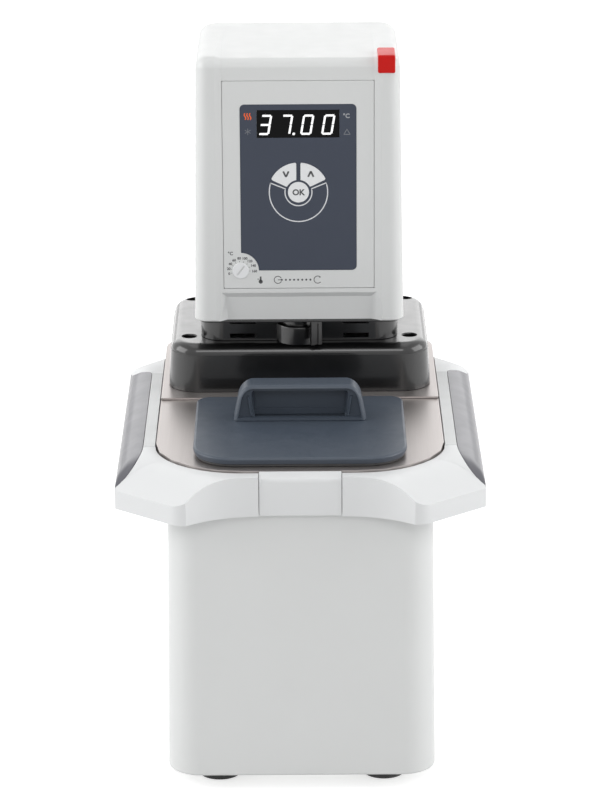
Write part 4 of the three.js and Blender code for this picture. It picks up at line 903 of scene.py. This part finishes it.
def head_section(height, inset=0.0, front_inset=0.0):
    """The outline of the head at a height, for its outside or for its hollow."""
    half = head_high.x - head_lean * (height - head_low.z) / head_height - inset
    front_radius = max(head_front_corner - inset, head_least_corner)
    back_radius = max(head_back_corner - inset, head_least_corner)
    front = head_low.y + max(front_inset, inset)
    return (half * 2, front, head_high.y - inset, front_radius, back_radius, height)


head_hollow_top = head_high.z - head_wall
head_sections = [head_section(head_foot, head_foot_edge), head_section(head_foot + head_foot_edge)]
head_sections += rounded_over(head_section(head_high.z - head_round), head_round, steps=8)
head_bm = lofted(head_sections)
hollow_sections = [
    head_section(head_low.z - 2 * overcut, head_wall, head_front_wall),
    head_section(head_hollow_top - head_round, head_wall, head_front_wall),
    head_section(head_hollow_top - head_round * 0.4, head_wall + hollow_step, head_front_wall + hollow_step),
    head_section(head_hollow_top, head_round, head_round + head_wall),
]
hollow_bm = lofted(hollow_sections)


def fall_back(bm):
    """Lets the top of the head fall towards the rear."""
    for v in bm.verts:
        v.co.z -= head_fall * max(v.co.y - head_low.y, 0) * max(v.co.z - head_low.z, 0) / head_height


fall_back(head_bm)
fall_back(hollow_bm)

channel_half = 0.0509
channel_depth = 0.0013
channel_slope = 0.0045
channel_end = head_high.y + 0.004
channel_fade = 0.0005
channel_floor = head_low.y + channel_depth
channel_reach = 0.0093


def channel_station(y, z, away):
    """One section of the channel's cutter, wider the further it is from the channel's floor."""
    outer_half = channel_half + channel_slope * channel_reach / channel_depth
    outer_y, outer_z = y + away[0] * channel_reach, z + away[1] * channel_reach
    return [
        (-channel_half, y, z), (channel_half, y, z),
        (outer_half, outer_y, outer_z), (-outer_half, outer_y, outer_z),
    ]


channel_round = head_round - channel_depth
channel_top = head_high.z - channel_depth
arc_centre = (channel_floor + channel_round, channel_top - channel_round)
channel_stations = [channel_station(channel_floor, head_low.z - 0.005, (-1, 0))]
for step in range(9):
    turn = math.radians(90) * step / 8
    away = (-math.cos(turn), math.sin(turn))
    place = (arc_centre[0] + away[0] * channel_round, arc_centre[1] + away[1] * channel_round)
    channel_stations.append(channel_station(*place, away))
channel_stations.append(channel_station(channel_end, head_high.z + channel_fade, (0, 1)))
channel_bm = bmesh.new()
extruded_along(channel_bm, channel_stations)
fall_back(channel_bm)


def wedge_block(low, high, slopes=(0, 0, 0, 0)):
    """A block whose front is wider than its back by a slope on the left, right, bottom and top."""
    bm = bmesh.new()
    verts = bmesh.ops.create_cube(bm, size=1)["verts"]
    for v in verts:
        at_front = v.co.y < 0
        left, right, bottom, top = slopes if at_front else (0, 0, 0, 0)
        x = low[0] - left if v.co.x < 0 else high[0] + right
        z = low[2] - bottom if v.co.z < 0 else high[2] + top
        v.co = (x, low[1] if at_front else high[1], z)
    return bm


panel_low, panel_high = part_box("control_panel")
panel_gap = 0.00025
cutter_reach = 0.01
panel_seat = wedge_block(
    (panel_low.x - panel_gap, head_low.y - cutter_reach, panel_low.z - panel_gap),
    (panel_high.x + panel_gap, panel_high.y + panel_gap, panel_high.z + panel_gap),
)
chin_depth = 0.0024
chin_undercut = 0.0034
chin_top = head_low.z + 0.0190
chin_half = 0.0485
chin_front = head_low.y - 0.006
chin_floor = channel_floor + chin_depth
chin_edge = 0.0034
chin_slope = chin_edge * (chin_floor - chin_front) / chin_depth
chin_hollow = wedge_block(
    (-chin_half, chin_front, head_low.z - cutter_reach), (chin_half, chin_floor, chin_top),
    (chin_slope, chin_slope, 0, chin_slope),
)
for v in chin_hollow.verts:
    if v.co.y > chin_front + overcut and v.co.z < chin_top - overcut:
        v.co.y += chin_undercut
cover_low, cover_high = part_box("head_rear_cover")
cover_gap = 0.0003
opening_depth = 0.006
rear_opening = wedge_block(
    (cover_low.x - cover_gap, head_high.y - opening_depth, cover_low.z - cover_gap),
    (cover_high.x + cover_gap, head_high.y + 2 * overcut, cover_high.z + cover_gap),
)
head_bm = carved(head_bm, hollow_bm, channel_bm, panel_seat, chin_hollow, rear_opening)
panel_seat_edge = panel_high.x + panel_gap + 0.0001
seat_margin = 0.001
front_reach = head_low.y + 0.004
top_reach = head_high.z - 0.008


def on_front(edge):
    """Edges of the channel and the chin, but none of the panel's seat."""
    places = [v.co for v in edge.verts]
    outside_seat = any(
        abs(p.x) > panel_seat_edge or not panel_low.z - seat_margin <= p.z <= panel_high.z + seat_margin
        for p in places
    )
    return outside_seat and all(p.y < front_reach or p.z > top_reach for p in places)


soften(head_bm, head_edge, steps=4, least=12, where=on_front)
add_piece("head_shell", head_bm, "bath", "head_housing")

# The control panel.
# A flat grey plate set in the channel, with a shallow seat for the membrane foil. The signs for
# the cut-off and the pump are printed on it below the foil.
panel_corner = 0.0009
panel_edge = 0.0003
panel_face = -panel_low.y
foil_low, foil_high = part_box("keypad_foil")
foil_corner = 0.0031
foil_edge = 0.0001
foil_notch = 0.0123
dial_low, dial_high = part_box("safety_dial")
dial_x, dial_z = (dial_low.x + dial_high.x) / 2, (dial_low.z + dial_high.z) / 2
window_low, window_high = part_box("display_window")
seat_gap = 0.00008


def upright_plate(low, high, corner, face, back, edge):
    """A plate drawn flat, with x across, y up and its face at that distance towards the front."""
    outline = (high.x - low.x, low.z, high.z, corner, corner, back)
    return lofted([outline] + rounded_over(inset_section(outline, 0, face - edge), edge, steps=2), steps=6)


def foil_shape(gap, face, back, edge):
    """The foil, or its seat: a rounded plate with a round notch for the dial."""
    grow = Vector((gap, 0, gap))
    bm = upright_plate(foil_low - grow, foil_high + grow, foil_corner + gap, face, back, edge)
    notch = bmesh.new()
    disc(notch, foil_notch - gap, back - overcut, face + overcut, (dial_x, dial_z, 0))
    return carved(bm, notch)


panel_bm = upright_plate(panel_low, panel_high, panel_corner, panel_face, -panel_high.y, panel_edge)
panel_bm = carved(panel_bm, foil_shape(seat_gap, panel_face + overcut, -foil_high.y, foil_edge))
add_upright("control_panel_plate", panel_bm, "bath", "control_panel")

print_rise = 0.00004
letter_weight = 0.034


def drawn_line(bm, points, width, face):
    """A printed line through flat points, thinly raised above a face."""
    stations = []
    for number, point in enumerate(points):
        before, after = points[max(number - 1, 0)], points[min(number + 1, len(points) - 1)]
        along = (Vector(after) - Vector(before)).normalized()
        across = Vector((-along.y, along.x)) * width / 2
        left, right = Vector(point) + across, Vector(point) - across
        stations.append([
            (*left, face), (*right, face), (*right, face + print_rise), (*left, face + print_rise)
        ])
    extruded_along(bm, stations)


def arc(centre, radius, start, end, steps=24):
    """Points on an arc, its angles in degrees."""
    turns = [math.radians(start + (end - start) * n / steps) for n in range(steps + 1)]
    return [(centre[0] + radius * math.cos(a), centre[1] + radius * math.sin(a)) for a in turns]


def dot(bm, centre, radius, face, steps=20):
    """A printed round dot."""
    disc(bm, radius, face, face + print_rise, (*centre, 0), steps)


def lettering(bm, text, size, place, face):
    """Printed characters, centred on a place."""
    font = bpy.data.curves.new("lettering", "FONT")
    font.body = text
    font.size = size
    font.offset = size * letter_weight
    font.align_x = "CENTER"
    font.align_y = "CENTER"
    font.extrude = print_rise / 2
    font.resolution_u = 4
    holder = bpy.data.objects.new("lettering", font)
    scene.collection.objects.link(holder)
    letters = bpy.data.meshes.new_from_object(holder)
    letters.transform(Matrix.Translation((*place, face + print_rise / 2)))
    bm.from_mesh(letters)
    bmesh.ops.remove_doubles(bm, verts=bm.verts, dist=1e-6)
    bpy.data.objects.remove(holder)


def ink(name, colour, shade, glow=0.0):
    """The finish of printed signs."""
    return finished(name, colour, shade, 1200, 0.4, 0.5, 0.00001, glow=glow)


grey_ink = ink("Grey ink", (0.060, 0.062, 0.065), (0.075, 0.077, 0.080))
sign_height = panel_low.z + 0.0058
sign_line = 0.0005
stem_x = -0.0258
stem_line = 0.0011
bulb_radius = 0.0014
tick_half = 0.0006
circle_x = (-0.0142, 0.0126)
circle_radius = 0.0025
dot_radius = 0.0007
dot_start = circle_x[0] + 0.0026
dot_pitch = 0.00275
stem = [(stem_x, sign_height - 0.001), (stem_x, sign_height + 0.0024)]
bulb_centre = (stem_x, sign_height - 0.0012)
arrow_centre = (circle_x[1] + 0.0014, sign_height + 0.0019)
sign_bm = bmesh.new()
drawn_line(sign_bm, stem, stem_line, panel_face)
dot(sign_bm, bulb_centre, bulb_radius, panel_face)
tick = [(stem_x - 0.0016 + side * tick_half, sign_height + tick_half) for side in (-1, 1)]
drawn_line(sign_bm, tick, sign_line, panel_face)
drawn_line(sign_bm, arc((circle_x[0], sign_height), circle_radius, 25, 335), sign_line, panel_face)
drawn_line(sign_bm, arc((circle_x[1], sign_height), circle_radius, 40, 320), sign_line, panel_face)
dot(sign_bm, arrow_centre, dot_radius, panel_face, steps=3)
drawn_line(sign_bm, [(circle_x[0], sign_height), (dot_start, sign_height)], sign_line, panel_face)
for number in range(8):
    dot(sign_bm, (dot_start + number * dot_pitch, sign_height), dot_radius, panel_face, steps=12)
add_upright("panel_signs", sign_bm, "bath", slot="grey_plastic", finish=grey_ink)

# The cut-off scale.
# Printed round the dial in dark grey, from 0 to 160 in steps of 20 degrees, with a short line
# at each number.
scale_start = 196
scale_step = 24.9
scale_letters = 0.0024
scale_reach = 0.0080
reach_growth = 0.00013
three_figures = 0.0002
scale_ticks = (0.0059, 0.0066)
tick_line = 0.0003
unit_letters = 0.0032
unit_place = (dial_x - 0.0068, dial_z + 0.0118)
dial_middle = Vector((dial_x, dial_z))
scale_bm = bmesh.new()
for number in range(9):
    angle = math.radians(scale_start - scale_step * number)
    out = Vector((math.cos(angle), math.sin(angle)))
    reach = scale_reach + reach_growth * number + three_figures * (number > 4)
    lettering(scale_bm, str(number * 20), scale_letters, dial_middle + out * reach, panel_face)
    drawn_line(scale_bm, [dial_middle + out * radius for radius in scale_ticks], tick_line, panel_face)
lettering(scale_bm, "\u00b0C", unit_letters, unit_place, panel_face)
add_upright("cut_off_scale", scale_bm, "bath", slot="grey_plastic", finish=grey_ink)

# The membrane foil.
# Printed slate grey polyester stuck in the seat of the panel, with clear windows for the display
# and its lamps, and a white outline below the keys.
finishes["foil"] = finished(
    "Slate foil", (0.047, 0.057, 0.082), (0.044, 0.053, 0.077), 3200, 0.32, 0.40, 0.00002, gloss=0.3
)
foil_face = -foil_low.y
foil_bm = foil_shape(0, foil_face, -foil_high.y, foil_edge)
glass_corner = 0.0003
glass_gap = Vector((seat_gap, 0, seat_gap))
display_hole = upright_plate(
    window_low - glass_gap, window_high + glass_gap, glass_corner,
    foil_face + overcut, -foil_high.y - overcut, foil_edge,
)
foil_bm = carved(foil_bm, display_hole)
add_upright("keypad_membrane", foil_bm, "bath", "keypad_foil")

key_middle = (0.0, 0.3675)
white_ink = ink("White ink", (0.74, 0.75, 0.77), (0.70, 0.71, 0.73))
outline_bm = bmesh.new()
outline_inner = 0.0090
outline_outer = 0.0195
outline_stretch = 1.04
outline_ends = (-198.0, 18.0)
outline_line = 0.00075
round_points = arc(key_middle, outline_outer, *outline_ends, steps=48)
round_points += reversed(arc(key_middle, outline_inner, outline_ends[0] + 4, outline_ends[1] - 4, steps=32))
round_points = [(x, key_middle[1] + (y - key_middle[1]) * outline_stretch) for x, y in round_points]
drawn_line(outline_bm, round_points + round_points[:2], outline_line, foil_face)
add_upright("keypad_outline", outline_bm, "bath", slot="foil", finish=white_ink)

sign_low = window_low.z + 0.0042
sign_high = window_high.z - 0.0042
lamp_x = 0.0335
heat_lamp = finished(
    "Heating lamp", (0.78, 0.11, 0.015), (0.74, 0.10, 0.012), 1200, 0.3, 0.4, 0.00001, glow=0.15
)
wave_line = 0.00075
wave_swing = 0.0005
wave_rise = 0.00055
wave_pitch = 0.0017
heat_bm = bmesh.new()
for shift in (-wave_pitch, 0.0, wave_pitch):
    wave = [
        (-lamp_x + shift + wave_swing * math.sin(n * math.pi / 4), sign_high + (n - 4) * wave_rise)
        for n in range(9)
    ]
    drawn_line(heat_bm, wave, wave_line, foil_face)
add_upright("heating_sign", heat_bm, "bath", slot="foil", finish=heat_lamp)
dim_ink = ink("Unlit sign", (0.17, 0.18, 0.20), (0.15, 0.16, 0.18))
flake_half = 0.0022
flake_line = 0.0004
flake_middle = Vector((-lamp_x, sign_low))
dim_bm = bmesh.new()
for angle in (90, 30, 150):
    out = Vector((math.cos(math.radians(angle)), math.sin(math.radians(angle)))) * flake_half
    drawn_line(dim_bm, [flake_middle - out, flake_middle + out], flake_line, foil_face)
warning_x = lamp_x - 0.0010
warning_half = 0.0021
warning_foot = sign_low - 0.0022
warning_top = sign_low + 0.0014
warning_corners = [
    (warning_x, warning_top),
    (warning_x + warning_half, warning_foot),
    (warning_x - warning_half, warning_foot),
]
for start, end in zip(warning_corners, warning_corners[1:] + warning_corners[:1]):
    drawn_line(dim_bm, [start, end], sign_line, foil_face)
add_upright("unlit_signs", dim_bm, "bath", slot="foil", finish=dim_ink)
pale_ink = ink("Pale ink", (0.36, 0.37, 0.39), (0.33, 0.34, 0.36))
degree_letters = 0.0041
degree_place = (lamp_x - 0.0014, sign_high - 0.0001)
degree_bm = bmesh.new()
lettering(degree_bm, "\u00b0C", degree_letters, degree_place, foil_face)
add_upright("degree_sign", degree_bm, "bath", slot="foil", finish=pale_ink)

# The display.
# A smoked window set in the foil, with four white digits of lit bars that lean to the right.
finishes["smoked_window"] = finished(
    "Smoked window", (0.0012, 0.0012, 0.0014), (0.0016, 0.0016, 0.0018), 900, 0.10, 0.16, 0.00001, gloss=0.1
)
glass_edge = 0.0002
window_bm = upright_plate(
    window_low, window_high, glass_corner, -window_low.y, -window_high.y, glass_edge
)
add_upright("display_glass", window_bm, "bath", "display_window")

lit = ink("Lit digits", (1.0, 1.0, 1.0), (0.98, 0.98, 0.98), glow=0.3)
digit_bars = {"3": "abgcd", "7": "abc", "0": "abcdef"}
digit_pitch = 0.0140
digit_first = -0.0219
digit_width = 0.0061
digit_height = 0.0124
digit_lean = math.tan(math.radians(9.5))
bar_width = 0.0014
bar_gap = 0.0003
bar_round = 0.0003
digit_middle = (window_low.z + window_high.z) / 2 - 0.0006
point_radius = 0.0009
digits_bm = bmesh.new()


def lit_bar(bm, centre, length, upright):
    """One bar of a digit, with its ends rounded off."""
    outline = (length, -bar_width / 2, bar_width / 2, bar_round, bar_round)
    bar = lofted([(*outline, 0.0), (*outline, print_rise)], steps=2)
    turn = Matrix.Rotation(math.radians(90 if upright else 0), 4, "Z")
    bmesh.ops.transform(bar, matrix=Matrix.Translation((*centre, -window_low.y)) @ turn, verts=bar.verts)
    spare = bpy.data.meshes.new("bar")
    bar.to_mesh(spare)
    bar.free()
    bm.from_mesh(spare)
    bpy.data.meshes.remove(spare)


for number, figure in enumerate("3700"):
    x = digit_first + number * digit_pitch
    left, right = x - digit_width / 2, x + digit_width / 2
    bars = {
        "a": (x, digit_height / 2, False), "g": (x, 0, False), "d": (x, -digit_height / 2, False),
        "b": (right, digit_height / 4, True), "c": (right, -digit_height / 4, True),
        "f": (left, digit_height / 4, True), "e": (left, -digit_height / 4, True),
    }
    for bar_name in digit_bars[figure]:
        bar_x, bar_z, upright = bars[bar_name]
        length = (digit_height / 2 if upright else digit_width) - bar_gap
        lit_bar(digits_bm, (bar_x, bar_z + digit_middle), length, upright)
point_x = digit_first + digit_pitch * 1.5 - 0.0010
dot(digits_bm, (point_x, digit_middle - digit_height / 2), point_radius, -window_low.y)
for v in digits_bm.verts:
    v.co.x += digit_lean * (v.co.y - digit_middle)
add_upright("display_digits", digits_bm, "bath", slot="smoked_window", finish=lit)

# The keys.
# A round OK key and two wedges above it, all of light grey plastic that stands a little proud
# of the foil. Their signs are printed in dark grey.
finishes["key_plastic"] = finished(
    "Key plastic", (0.82, 0.83, 0.84), (0.79, 0.80, 0.81), 2100, 0.35, 0.45, 0.00002
)
key_face = -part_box("key_ok")[0].y
key_back = foil_face - 0.0008
key_round = 0.00025
ok_radius = 0.00705
ok_profile = (
    (0, key_back), (ok_radius, key_back), (ok_radius, key_face - key_round),
    (ok_radius - key_round * 0.3, key_face - key_round * 0.3),
    (ok_radius - key_round, key_face), (0, key_face),
)
ok_bm = bmesh.new()
turned(ok_bm, ok_profile, (*key_middle, 0), steps=64)
add_upright("key_ok_cap", ok_bm, "key_ok", "key_ok")
ok_letters = 0.0055
ok_place = (key_middle[0], key_middle[1] - 0.0002)
ok_print = bmesh.new()
lettering(ok_print, "OK", ok_letters, ok_place, key_face)
add_upright("key_ok_print", ok_print, "key_ok", slot="key_plastic", finish=grey_ink)

wedge_inner = 0.0085
wedge_outer = 0.0203
wedge_low_angle = 25.6
wedge_gap = 0.0014
wedge_corner = 0.0012
wedge_edge = key_round * 0.8
arrow_half = (0.0018, 0.0019)
arrow_line = 0.0012
arrow_place = (0.0083, 0.0125)
for side, mirror, sign in (("up", 1, 1), ("down", -1, -1)):
    wedge_bm = bmesh.new()
    start = [wedge_bm.verts.new((r, 0, key_back)) for r in (wedge_inner, wedge_outer)]
    line = wedge_bm.edges.new(start)
    bmesh.ops.rotate(
        wedge_bm, cent=(0, 0, 0), matrix=Matrix.Rotation(math.radians(wedge_low_angle), 3, "Z"), verts=start
    )
    bmesh.ops.spin(
        wedge_bm, geom=start + [line], cent=(0, 0, 0), axis=(0, 0, 1),
        angle=math.radians(90 - wedge_low_angle), steps=20, use_merge=False,
    )
    bmesh.ops.remove_doubles(wedge_bm, verts=wedge_bm.verts, dist=1e-6)
    everything = wedge_bm.verts[:] + wedge_bm.edges[:] + wedge_bm.faces[:]
    bmesh.ops.bisect_plane(
        wedge_bm, geom=everything, plane_co=(wedge_gap, 0, 0), plane_no=(-1, 0, 0), clear_outer=True
    )
    bmesh.ops.dissolve_faces(wedge_bm, faces=wedge_bm.faces)
    corners = [v for v in wedge_bm.verts if v.calc_edge_angle(0) > math.radians(40)]
    bmesh.ops.bevel(
        wedge_bm, geom=corners, offset=wedge_corner, offset_type="OFFSET", segments=4, profile=0.5,
        affect="VERTICES", material=-1,
    )
    raised = bmesh.ops.extrude_face_region(wedge_bm, geom=wedge_bm.faces[:])["geom"]
    lifted = [v for v in raised if isinstance(v, bmesh.types.BMVert)]
    bmesh.ops.translate(wedge_bm, vec=(0, 0, key_face - key_back), verts=lifted)
    bmesh.ops.recalc_face_normals(wedge_bm, faces=wedge_bm.faces)
    soften(wedge_bm, wedge_edge, least=60, where=lambda e: all(v.co.z > key_face - 1e-6 for v in e.verts))
    bmesh.ops.scale(wedge_bm, vec=(mirror, 1, 1), verts=wedge_bm.verts)
    bmesh.ops.translate(wedge_bm, vec=(*key_middle, 0), verts=wedge_bm.verts)
    add_upright("key_%s_cap" % side, wedge_bm, "key_" + side, "key_" + side)
    arrow_bm = bmesh.new()
    tip = Vector((mirror * arrow_place[0], key_middle[1] + arrow_place[1]))
    peak = tip + Vector((0, sign * arrow_half[1]))
    for across in (-arrow_half[0], arrow_half[0]):
        leg = tip + Vector((across, -sign * arrow_half[1]))
        drawn_line(arrow_bm, [leg, peak], arrow_line, key_face)
    add_upright("key_%s_print" % side, arrow_bm, "key_" + side, slot="key_plastic", finish=grey_ink)

# The cut-off dial.
# A small disc flush with the panel, turned with a screwdriver in its slot. It sets the
# temperature at which the safety limiter cuts the heater off.
dial_radius = (dial_high.x - dial_low.x) / 2
dial_face = -dial_low.y
dial_round = 0.0003
dial_slot = (0.0080, 0.0011, 0.0013)
dial_slot_turn = math.radians(52)
dial_back = panel_face - 0.002
dial_profile = (
    (0, dial_back), (dial_radius, dial_back), (dial_radius, dial_face - dial_round),
    (dial_radius - dial_round, dial_face), (0, dial_face),
)
dial_bm = bmesh.new()
turned(dial_bm, dial_profile, steps=64)
slot_bm = bmesh.new()
slot_verts = bmesh.ops.create_cube(slot_bm, size=1)["verts"]
bmesh.ops.scale(slot_bm, vec=(dial_slot[0], dial_slot[1], dial_slot[2] * 2), verts=slot_verts)
bmesh.ops.rotate(slot_bm, cent=(0, 0, 0), matrix=Matrix.Rotation(dial_slot_turn, 3, "Z"), verts=slot_verts)
bmesh.ops.translate(slot_bm, vec=(0, 0, dial_face), verts=slot_verts)
dial_bm = carved(dial_bm, slot_bm)
bmesh.ops.translate(dial_bm, vec=(dial_x, dial_z, 0), verts=dial_bm.verts)
add_upright("cut_off_dial", dial_bm, "safety_dial", "safety_dial")

# The mains switch.
# A rocker of red plastic that wraps over the front top edge of the head. It rocks about a level
# line just below the top, and the switch body stands behind it inside the head.
finishes["red_plastic"] = finished(
    "Red plastic", (0.60, 0.007, 0.005), (0.56, 0.006, 0.004), 1500, 0.30, 0.38, 0.00001, gloss=0.2
)
switch_low, switch_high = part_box("mains_switch")
switch_round = 0.0012
switch_gap = 0.0004
switch_bm = upright_plate(
    switch_low, switch_high, switch_round, -switch_low.y, -switch_high.y + switch_gap, switch_round
)
stand_up(switch_bm)
bmesh.ops.translate(switch_bm, vec=((switch_low.x + switch_high.x) / 2, 0, 0), verts=switch_bm.verts)
add_piece("mains_rocker", switch_bm, "mains_switch", "mains_switch")

# The back of the head.
# A grey cover with a row of air slots, pushed into the opening of the head. Below the slots sit the
# black mains inlet with its three brass pins, and the socket for a data cable.
finishes["plated_sheet"] = brushed(
    "Plated sheet", (0.62, 0.63, 0.62), (0.52, 0.53, 0.50), (60, 60, 60), 0.3, 0.5
)
finishes["cast_metal"] = finished(
    "Cast metal", (0.36, 0.37, 0.38), (0.30, 0.31, 0.32), 1200, 0.4, 0.6, 0.0001, metal=0.8
)
finishes["brass"] = brushed("Brass", (0.62, 0.45, 0.20), (0.56, 0.40, 0.18), (300, 300, 300))
finishes["circuit_board"] = finished(
    "Circuit board", (0.02, 0.12, 0.05), (0.03, 0.15, 0.06), 900, 0.3, 0.5, 0.00003
)
finishes["insulation"] = finished(
    "Insulation foam", (0.52, 0.46, 0.30), (0.44, 0.38, 0.24), 700, 0.8, 0.95, 0.0006
)

sheet_edge = 0.0004
fine_edge = 0.0003
eased("rear_cover_slotted", "head_rear_cover", "bath", sheet_edge)
eased("mains_inlet_socket", "mains_inlet", "bath", sheet_edge)
eased("data_socket", "interface_socket", "bath", fine_edge)
inlet_low, inlet_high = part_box("mains_inlet")
pin_size = Vector((0.0024, 0.0152, 0.0046))
pin_pitch = 0.007
pin_edge = 0.0006
pin_setback = 0.0030
pins_bm = bmesh.new()
for number in (-1, 0, 1):
    pin = bmesh.ops.create_cube(pins_bm, size=1)["verts"]
    bmesh.ops.scale(pins_bm, vec=pin_size, verts=pin)
    place = Vector((
        (inlet_low.x + inlet_high.x) / 2 + number * pin_pitch,
        inlet_high.y - pin_setback - pin_size.y / 2, (inlet_low.z + inlet_high.z) / 2,
    ))
    bmesh.ops.translate(pins_bm, vec=place, verts=pin)
soften(pins_bm, pin_edge, steps=3)
add_piece("mains_inlet_pins", pins_bm, "bath", slot="brass")

# The base.
# A pan of zinc-plated sheet closes the casing from below, and a black plate closes the head
# in the same way.
eased("base_pan_sheet", "base_pan", "bath", sheet_edge)
eased("head_base_plate", "head_base", "bath", sheet_edge)

# The nozzles and the drain.
# Two turned steel nozzles leave the bridge at the back, and a drain spout leaves the tank low down.
# Each ends in a thread under a ribbed black cap that unscrews.
for side in ("supply", "return"):
    eased(side + "_nozzle_pipe", side + "_nozzle", "bath", fine_edge)
    eased(side + "_nozzle_cap", side + "_cap", side + "_cap", fine_edge)
eased("drain_spout_pipe", "drain_spout", "bath", fine_edge)
eased("drain_spout_cap", "drain_cap", "drain_cap", fine_edge)

# The lid's seal.
# A flat ring of black rubber under the lid's edge, which rests on the deck of the tank.
# Its black also stands in for the shadow under the lid's edge, as painted shadow.
seal_edge = 0.0002
eased("lid_seal_and_painted_shadow", "lid_gasket", "lid", seal_edge)

# Everything else sits inside.
# The pump, heater, sensors and boards keep the solids of the CAD in the finish of their slot.
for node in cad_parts.values():
    for place in node.material_slots:
        place.material = finishes[place.material.name.split(".")[0]]
